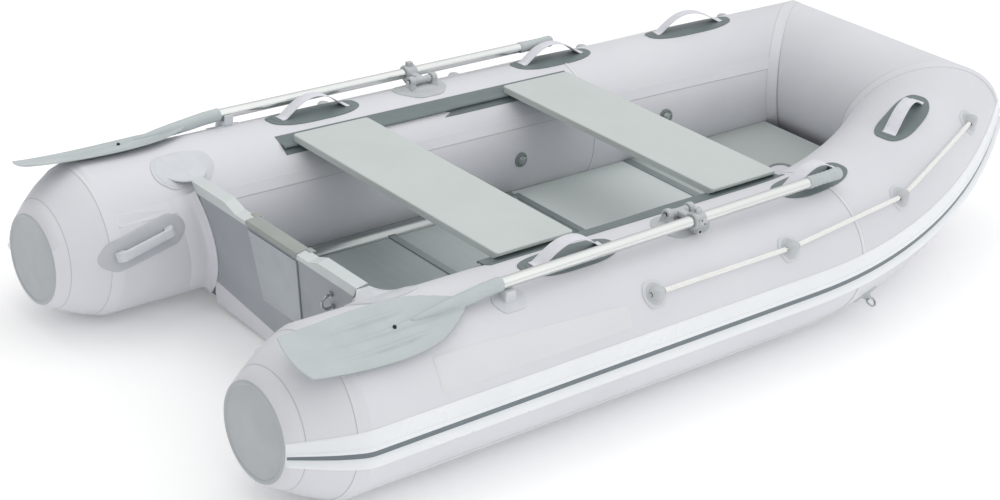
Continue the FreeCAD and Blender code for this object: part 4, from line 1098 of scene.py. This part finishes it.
# ---- rowlocks: an oval base, two lugs, a pin, a swivelling arm and a split clamp
oarShape = {"pin": Vector((-0.15375, 0.565, 0.474)), "clamp": Vector((-0.15375, 0.632, 0.476)), "rise": 0.55,
            "toe": 0.45, "lugs": 0.042, "shaft": 0.016, "aft": -0.85475, "fore": 0.30225, "end": 0.43625,
            "tip": -1.48175}
oarTurn = (Matrix.Translation(oarShape["clamp"]) @ Matrix.Rotation(radians(-oarShape["toe"]), 4, "Z")
           @ Matrix.Rotation(radians(-oarShape["rise"]), 4, "Y"))
alongX = Matrix.Rotation(radians(90), 4, "Y")
lugStations = ((0, 0.0050), (0.0050, 0.0050), (0.0056, 0.0040), (0.0085, 0.0040), (0.0090, 0.0088), (0.0100, 0.0098),
               (0.0140, 0.0098), (0.0162, 0.0082), (0.0170, 0.0055), (0.0170, -0.0055), (0.0162, -0.0084),
               (0.0140, -0.0098), (0.0, -0.0098))


def drawRowlockBase(bm):
    flatPatch(bm, [(-0.094, 0.022), (-0.052, 0.062), (0.052, 0.062), (0.094, 0.022), (0.094, -0.022),
                   (0.046, -0.066), (-0.046, -0.066), (-0.094, -0.022)], 0.019, 0.0024)
    wrapOnTube(bm.verts, oarShape["pin"].x, 86.0, lift=0.0004)
    dome = newMesh()
    addTurned(dome, ((0, 0.0140), (0.030, 0.0135), (0.048, 0.0115), (0.058, 0.0070), (0.064, 0.0025), (0.072, 0.0)),
              steps=40)
    bmesh.ops.scale(dome, vec=(1.0, 0.62, 1.0), verts=dome.verts)
    wrapOnTube(dome.verts, oarShape["pin"].x, 88.0, lift=0.0020)
    joinInto(bm, dome)
    pin = oarShape["pin"]
    for side in (-1, 1):
        at = Matrix.Translation(pin + Vector((side * oarShape["lugs"], 0, 0))) @ Matrix.Rotation(
            radians(90 * side), 4, "Y")
        addTurned(bm, lugStations, at, 32)
        foot = newMesh()
        addBlock(foot, (0.0190, 0.032, 0.034), (0, 0, 0), 0.0035, 3)
        for vert in foot.verts:
            low = 0.5 - vert.co.z / 0.034
            vert.co.y *= 0.98 + 0.45 * low ** 2
            vert.co.x *= 1.0 + 0.35 * low ** 2
        bmesh.ops.translate(foot, vec=pin + Vector((side * oarShape["lugs"], 0, -0.0175)), verts=foot.verts)
        joinInto(bm, foot)
    addBlock(bm, (0.060, 0.020, 0.008), pin + Vector((0, 0, -0.0235)), 0.003, 3)


def drawLugScrews(bm):
    pin = oarShape["pin"]
    for side in (-1, 1):
        at = Matrix.Translation(pin + Vector((side * (oarShape["lugs"] + 0.0042), 0, 0))) @ Matrix.Rotation(
            radians(90 * side), 4, "Y")
        addTurned(bm, ((0.0022, -0.0006), (0.0024, 0.0018), (0.0044, 0.0020), (0.0050, 0.0008), (0.0050, -0.001)),
                  at, 20)


def drawSwivel(bm):
    pin = oarShape["pin"]
    addTurned(bm, ((0.0062, -0.0305), (0.0108, -0.0305), (0.0116, -0.0290), (0.0116, -0.0170), (0.0104, -0.0160),
                   (0.0104, 0.0160), (0.0116, 0.0170), (0.0116, 0.0290), (0.0108, 0.0305), (0.0062, 0.0305)),
              Matrix.Translation(pin) @ alongX, 28)
    arm = newMesh()
    addBlock(arm, (0.027, 0.052, 0.017), (0, 0.029, 0), 0.0045, 3)
    for vert in arm.verts:
        waist = 1 - 0.30 * sin(pi * min(1.0, max(0.0, (vert.co.y - 0.004) / 0.050)))
        vert.co.x *= waist
    bmesh.ops.translate(arm, vec=pin, verts=arm.verts)
    joinInto(bm, arm)
    drawClampHalf(bm, -1)


def drawClampHalf(bm, way):
    spots = [(-0.0205, 0.0163), (0.0205, 0.0163), (0.0210, 0.0170), (0.0210, 0.0215), (0.0170, 0.0248),
             (0.0060, 0.0240), (-0.0060, 0.0240), (-0.0170, 0.0248), (-0.0210, 0.0215), (-0.0210, 0.0170)]
    rings = [lambda x, r, a=radians(-88 + 176 * i / 24): oarTurn @ Vector((x, way * r * cos(a), r * sin(a)))
             for i in range(25)]
    sweepLoop(bm, spots, rings)
    for end in (1, -1):
        ear = newMesh()
        addBlock(ear, (0.020, 0.0078, 0.014), (0, way * 0.0046, end * 0.0285), 0.0022, 3)
        bmesh.ops.transform(ear, matrix=oarTurn, verts=ear.verts)
        joinInto(bm, ear)


def drawCollar(bm):
    drawClampHalf(bm, 1)
    tab = newMesh()
    addTurned(tab, ((0, 0.0062), (0.0048, 0.0062), (0.0076, 0.0050), (0.0084, 0.0020), (0.0084, -0.0050),
                    (0, -0.0050)), Matrix.Translation((0, 0.0125, -0.0290)) @ Matrix.Rotation(radians(-90), 4, "X"), 24)
    addBlock(tab, (0.016, 0.010, 0.016), (0, 0.0090, -0.0235), 0.003, 3)
    addBlock(tab, (0.028, 0.0040, 0.020), (0, 0.0246, 0.0030), 0.0018, 3)
    bmesh.ops.transform(tab, matrix=oarTurn, verts=tab.verts)
    joinInto(bm, tab)


# painted shade: the steel screw heads sit in recesses and are coloured near-black for the shade there
def drawClampScrews(bm):
    for x, y, z, radius in ((0.0, 0.0186, -0.0290, 0.0040), (-0.006, 0.0268, 0.0090, 0.0020),
                            (0.007, 0.0268, -0.0040, 0.0020)):
        addTurned(bm, ((0, 0.0006), (radius * 0.4, 0.0006), (radius * 0.5, 0.0014), (radius, 0.0012),
                       (radius * 1.1, -0.0008)), oarTurn @ Matrix.Translation((x, y, z))
                  @ Matrix.Rotation(radians(-90), 4, "X"), 16)


finishPair("RowlockBase", drawRowlockBase, [finish["fittingNylon"]], slot="fitting_plastic", sharp=32)
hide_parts("oarlock_bases")
finishPair("LugScrews", drawLugScrews, [finish["stainless"]], slot="stainless_steel")
finishPair("RowlockSwivel", drawSwivel, [finish["fittingNylon"]], "{side}_oar", ["{side}_oarlock_swivel"],
           slot="fitting_plastic", sharp=32)
finishPair("OarCollar", drawCollar, [finish["fittingNylon"]], "{side}_oar", ["{side}_oar_collar"],
           slot="fitting_plastic", sharp=32)
finishPair("ClampScrews", drawClampScrews, [finish["holeShade"]], "{side}_oar", slot="stainless_steel")
print("rowlocks made")

# ---- oars
fluteShape = {"count": 18, "depth": 0.00035, "sides": 108}


def drawShaft(bm):
    spots = []
    for index in range(fluteShape["sides"]):
        angle = 2 * pi * index / fluteShape["sides"]
        groove = max(0.0, cos(fluteShape["count"] * angle)) ** 3
        spots.append((angle, oarShape["shaft"] - fluteShape["depth"] * groove))
    shift = oarShape["clamp"].x
    rings = [lambda a, r, x=x: oarTurn @ Vector((x - shift, r * cos(a), r * sin(a)))
             for x in (oarShape["aft"], -0.5, oarShape["fore"])]
    sweepLoop(bm, spots, rings)


def drawGrip(bm):
    start, end = oarShape["fore"] - 0.004, oarShape["end"]
    length = end - start
    stations = [(0.0163, start), (0.0178, start + 0.001), (0.0184, start + 0.006), (0.0172, start + 0.011)]
    for step in range(22):
        share = (step + 1) / 23
        x = start + 0.012 + (length - 0.030) * share
        stations.append((0.0180 + 0.0007 * cos(step * pi * 0.5) - 0.0008 * sin(pi * share), x))
    stations += [(0.0184, end - 0.014), (0.0186, end - 0.006), (0.0172, end - 0.0015), (0.0140, end), (0.0, end)]
    shift = oarShape["clamp"].x
    addTurned(bm, [(r, x - shift) for r, x in stations], oarTurn @ alongX, 36)


bladeShape = {"widths": ((0.150, 0.0), (0.190, 0.017), (0.235, 0.036), (0.28, 0.052), (0.33, 0.068), (0.38, 0.080),
                         (0.45, 0.089), (0.54, 0.0935), (0.63, 0.0930), (0.72, 0.090), (0.80, 0.086), (0.88, 0.081),
                         (0.95, 0.0765), (0.985, 0.0740), (1.0, 0.0710)),
              "tilt": 17.0, "tipDrop": 0.017, "spoon": 0.0185, "thick": 0.0040,
              "spine": ((0.0, 0.0190), (0.12, 0.0186), (0.20, 0.0172), (0.32, 0.0135), (0.45, 0.0100), (0.58, 0.0068),
                        (0.72, 0.0042), (0.84, 0.0012), (0.90, 0.0)),
              "ribs": ((-0.050, 0.42, 0.84, 0.0066), (0.050, 0.38, 0.86, 0.0066))}


def between(table, share):
    for (shareA, a), (shareB, b) in zip(table, table[1:]):
        if share <= shareB:
            t = max(0.0, (share - shareA) / (shareB - shareA))
            t = t * t * (3 - 2 * t) * 0.5 + t * 0.5
            return a + (b - a) * t
    return table[-1][1]


def drawBlade(bm):
    shape = bladeShape
    length = oarShape["aft"] - oarShape["tip"]
    lean = radians(shape["tilt"])
    shift = oarShape["clamp"].x
    verts = bmesh.ops.create_grid(bm, x_segments=110, y_segments=64, size=0.5)["verts"]
    for vert in verts:
        share = 0.150 + (vert.co.x + 0.5) * 0.850
        side = vert.co.y * 2
        spread = side * between(shape["widths"], share)
        tipCurve = 0.010 * (1 - side ** 2) * max(0.0, (share - 0.9) / 0.1) ** 2
        x = oarShape["aft"] - length * share - tipCurve + 0.010 * max(0.0, (share - 0.9) / 0.1) ** 2
        drop = shape["tipDrop"] * share + 4 * shape["spoon"] * share * (1 - share)
        spine = between(shape["spine"], share)
        height = 0.0
        if spine > 0:
            wide = spine * 1.25
            height = spine * 0.62 * max(0.0, 1 - (spread / wide) ** 2) ** 0.7
        for ribAt, ribFrom, ribTo, ribHigh in shape["ribs"]:
            middle = ribAt * (0.92 - 0.25 * (share - 0.6) ** 2 * 4)
            grow = max(0.0, min(1.0, (share - ribFrom) / 0.10, (ribTo - share) / 0.22))
            away = (spread - middle) / (0.0055 + 0.003 * grow)
            height = max(height, ribHigh * grow * max(0.0, 1 - away ** 2) ** 0.8)
        cup = -0.004 * (1 - side ** 2) * min(1.0, max(0.0, (share - 0.3) / 0.2))
        across = Vector((0, cos(lean), -sin(lean)))
        up = Vector((0, sin(lean), cos(lean)))
        vert.co = Vector((x - shift, 0, -drop)) + across * spread + up * (height + cup + shape["thick"] / 2)
    faces = bm.faces[:]
    bmesh.ops.recalc_face_normals(bm, faces=faces)
    if sum(face.normal.z for face in faces) < 0:
        bmesh.ops.reverse_faces(bm, faces=faces)
    bmesh.ops.solidify(bm, geom=faces, thickness=shape["thick"])
    socket = newMesh()
    stations = [(0.0163, 0.003), (0.0186, 0.0030), (0.0192, 0.0), (0.0192, -0.05), (0.0190, -0.10), (0.0178, -0.15),
                (0.0150, -0.20), (0.0105, -0.24), (0.0050, -0.27), (0.0, -0.28)]
    addTurned(socket, [(r, oarShape["aft"] - shift + x) for r, x in stations], alongX, 32)
    for vert in socket.verts:
        share = (oarShape["aft"] - shift - vert.co.x) / length
        drop = shape["tipDrop"] * share + 4 * shape["spoon"] * share * (1 - share)
        vert.co.z -= max(0.0, drop - 0.004) if share > 0 else 0.0
    bmesh.ops.recalc_face_normals(socket, faces=socket.faces)
    joinInto(bm, socket)
    bmesh.ops.transform(bm, matrix=oarTurn, verts=bm.verts)


# painted shade: a dark plug standing for the shade inside the blade's hole
def drawBladeHole(bm):
    length = oarShape["aft"] - oarShape["tip"]
    share = (oarShape["aft"] + 1.181) / length
    drop = bladeShape["tipDrop"] * share + 4 * bladeShape["spoon"] * share * (1 - share)
    at = Vector((-1.181 - oarShape["clamp"].x, 0, -drop + 0.0078))
    addTurned(bm, ((0, 0.0004), (0.0040, 0.0004), (0.0048, -0.0008), (0.0048, -0.010), (0, -0.010)),
              oarTurn @ Matrix.Translation(at), 18)


finishPair("OarShaft", drawShaft, [finish["shaftAluminium"]], "{side}_oar", ["{side}_oar_shaft"],
           slot="oar_shaft_aluminium", sharp=60)
finishPair("OarGrip", drawGrip, [finish["gripRubber"]], "{side}_oar", ["{side}_oar_grip"], slot="oar_plastic",
           sharp=50)
finishPair("OarBlade", drawBlade, [finish["oarNylon"]], "{side}_oar", ["{side}_oar_blade"], slot="oar_plastic",
           sharp=50, turn=False)
finishPair("BladeHole", drawBladeHole, [finish["holeShade"]], "{side}_oar", slot="oar_plastic")

# ---- oar rests
restShape = {"place": -0.82975, "angle": 66.0}


def drawRest(bm):
    flatPatch(bm, [(-0.054, 0), (-0.036, 0.036), (0.036, 0.036), (0.054, 0), (0.036, -0.036), (-0.036, -0.036)],
              0.012, 0.0024)
    wrapOnTube(bm.verts, restShape["place"], restShape["angle"], lift=0.0004)
    line = oarTurn @ Vector((restShape["place"] - oarShape["clamp"].x, 0, 0))
    top = line.z - oarShape["shaft"] - 0.0022
    block = newMesh()
    addBlock(block, (0.034, 0.042, 0.046), (0, 0, 0), 0.004, 3)
    for vert in block.verts:
        low = 0.5 - vert.co.z / 0.046
        vert.co.x *= 1 + 0.20 * low
        vert.co.y *= 1 + 0.15 * low
    bmesh.ops.translate(block, vec=(line.x, line.y, top - 0.023), verts=block.verts)
    joinInto(bm, block)
    addBlock(bm, (0.030, 0.006, 0.030), (line.x, line.y - oarShape["shaft"] - 0.0055, line.z - 0.013), 0.002, 3)


finishPair("OarRest", drawRest, [finish["palePatch"]], slot="fitting_plastic", sharp=32)
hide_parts("oar_clips")
print("oars made")

# ---- seat rails: a glued strip with a flap and a bead that the thwarts slide on
railShape = {"from": -0.75375, "to": 0.38625, "inner": 0.437, "top": 0.4233}


def drawRail(bm):
    shape = railShape
    inner, top = shape["inner"], shape["top"]

    def onSkin(angle, lift):
        return (halfSpacing + (tubeRadius + lift) * cos(radians(angle)),
                tubeRadius + (tubeRadius + lift) * sin(radians(angle)))
    spots = [onSkin(108.5, 0.0004), onSkin(108.6, 0.0016), onSkin(112.0, 0.0020), (0.466, top + 0.0004),
             (inner + 0.012, top), (inner + 0.003, top), (inner - 0.0015, top - 0.0008),
             (inner - 0.0042, top - 0.0042), (inner - 0.0016, top - 0.0080), (inner + 0.0018, top - 0.0078),
             (inner + 0.0042, top - 0.0048), (inner + 0.010, top - 0.0030), (0.4615, top - 0.0030),
             onSkin(118.0, 0.0016), onSkin(127.0, 0.0014), onSkin(127.4, 0.0004), onSkin(118.0, 0.0003),
             onSkin(113.0, 0.0003)]

    def spotAt(y, z, x):
        loose = max(0.0, min(1.0, (0.470 - y) / 0.033))
        under = min(abs(x + 0.32475), 0.24)
        droop = 0.0035 * cos(pi * under / 0.48) * loose
        return Vector((x, y, z - droop))
    steps = 40
    xs = [shape["from"] + (shape["to"] - shape["from"]) * i / steps for i in range(steps + 1)]

    def bent(y, z, x):
        at = spotAt(y, z, min(x, lines["bendX"]))
        if x <= lines["bendX"]:
            return at
        return bendCentre + bendTurn(x) @ (at - bendCentre)
    sweepLoop(bm, spots, [lambda y, z, x=x: bent(y, z, x) for x in xs])


finishPair("SeatRail", drawRail, [finish["slatePvc"]], slot="slate_pvc", sharp=40)
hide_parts("seat_rails")

# ---- floor: the keel valve's hole, flanges over the stringers and a grooved band at the middle joint
floorShape = {"ring": (0.855, -0.075, 0.046)}


# square to the floor where it rises towards the bow
def ringTurn():
    x, y, _ = floorShape["ring"]
    slope = (x - lines["riseX"]) / sqrt(lines["riseRadius"] ** 2 - (x - lines["riseX"]) ** 2)
    return along((-slope, 0, 1), (x, y, 0.120 + risen(x)))


def drawFloorRing(bm):
    radius, turn = floorShape["ring"][2], ringTurn()
    addTurned(bm, ((radius - 0.010, 0.0), (radius - 0.009, 0.0032), (radius - 0.003, 0.0045), (radius, 0.0030),
                   (radius + 0.001, 0.0)), turn, 40)


def drawFloorHole(bm):
    radius, turn = floorShape["ring"][2], ringTurn()
    addTurned(bm, ((0, 0.0010), (radius - 0.010, 0.0010), (radius - 0.010, -0.002)), turn, 40)


bm = newMesh()
drawFloorRing(bm)
finishPiece("keelValveRing", bm, [finish["fittingDarkAndEdgeShade"]], slot="fitting_plastic")
bm = newMesh()
drawFloorHole(bm)
finishPiece("keelValveHole", bm, [finish["hullPvc"]], slot="hull_fabric")


def drawStringerFlange(bm):
    spots = [(0.2880, 0.1206), (0.2880, 0.1228), (0.2900, 0.1236), (0.3000, 0.1238), (0.3420, 0.1238), (0.3445, 0.1228),
             (0.3445, 0.1206)]
    xs = (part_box("floor_stringers")[0].x + 0.001, -0.4700)
    for start, end in (xs, (-0.4395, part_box("floor_stringers")[1].x - 0.001)):
        sweepLoop(bm, spots, [lambda y, z, x=x: Vector((x, y, z)) for x in (start, end)])


finishPair("StringerFlange", drawStringerFlange, [finish["profileAluminium"]], slot="floor_profile_aluminium")
jointBand = {"from": 0.0135, "to": 0.0595, "z": 0.1203, "half": 0.337, "grooves": 4}


def drawJointBand(bm):
    start, end, z = jointBand["from"], jointBand["to"], jointBand["z"]
    spots = [(start, z - 0.0006), (start + 0.0004, z + 0.0012)]
    pitch = (end - start) / jointBand["grooves"]
    for index in range(1, jointBand["grooves"]):
        x = start + pitch * index
        spots += [(x - 0.0018, z + 0.0012), (x - 0.0012, z + 0.0001), (x + 0.0012, z + 0.0001),
                  (x + 0.0018, z + 0.0012)]
    spots += [(end - 0.0004, z + 0.0012), (end, z - 0.0006)]
    sweepLoop(bm, spots, [lambda x, z, y=y: Vector((x, y, z)) for y in (-jointBand["half"], jointBand["half"])])


bm = newMesh()
drawJointBand(bm)
finishPiece("floorJointBand", bm, [finish["jointAluminium"]], slot="floor_profile_aluminium", sharp=30)
print("pieces made:", pieceCount["made"])

# ---- light, floor
def addArea(name, place, target, size, power, colour=(1, 1, 1)):
    light = bpy.data.lights.new(name, "AREA")
    light.shape, light.size, light.energy, light.color = "DISK", size, power, colour
    lamp = bpy.data.objects.new(name, light)
    bpy.context.collection.objects.link(lamp)
    lamp.matrix_world = along(Vector(place) - Vector(target), place)


# the sky is brighter overhead, ahead and to starboard
studio = {"toward": (0.36, -0.34, 0.87), "skyLow": 0.29, "skyHigh": 1.17, "top": 28, "front": 5, "paper": 0.10}
world = bpy.data.worlds.new("studioSky")
bpy.context.scene.world = world
world.use_nodes = True
skyNodes, skyLinks = world.node_tree.nodes, world.node_tree.links
background = skyNodes["Background"]
background.inputs[0].default_value = (1.0, 1.0, 1.0, 1)
bearing = skyNodes.new("ShaderNodeTexCoord")
facing = skyNodes.new("ShaderNodeVectorMath")
facing.operation = "DOT_PRODUCT"
facing.inputs[1].default_value = studio["toward"]
strength = skyNodes.new("ShaderNodeMapRange")
for index, value in enumerate((-0.35, 1.0, studio["skyLow"], studio["skyHigh"])):
    strength.inputs[index + 1].default_value = value
skyLinks.new(bearing.outputs["Generated"], facing.inputs[0])
skyLinks.new(facing.outputs["Value"], strength.inputs[0])
skyLinks.new(strength.outputs[0], background.inputs[1])
addArea("topSoftbox", (-0.6, 1.2, 4.5), (0, 0, 0), 3.5, studio["top"])
addArea("frontSoftbox", (1.5, -4.5, 3.0), (0, 0, 0.2), 3.0, studio["front"])

bm = newMesh()
bmesh.ops.create_grid(bm, x_segments=1, y_segments=1, size=40)
floorMesh = bpy.data.meshes.new("studioFloor")
bm.to_mesh(floorMesh)
bm.free()
paper = makeFinish("floorPaper", "#FFFFFF", "#FDFDFD", 0.9, 2.0, 0.4, specular=0.2)
for node in paper.node_tree.nodes:
    if node.type == "BSDF_PRINCIPLED":
        node.inputs["Emission Color"].default_value = (1, 1, 1, 1)
        node.inputs["Emission Strength"].default_value = studio["paper"]
floorMesh.materials.append(paper)
studioFloor = bpy.data.objects.new("studioFloor", floorMesh)
bpy.context.collection.objects.link(studioFloor)
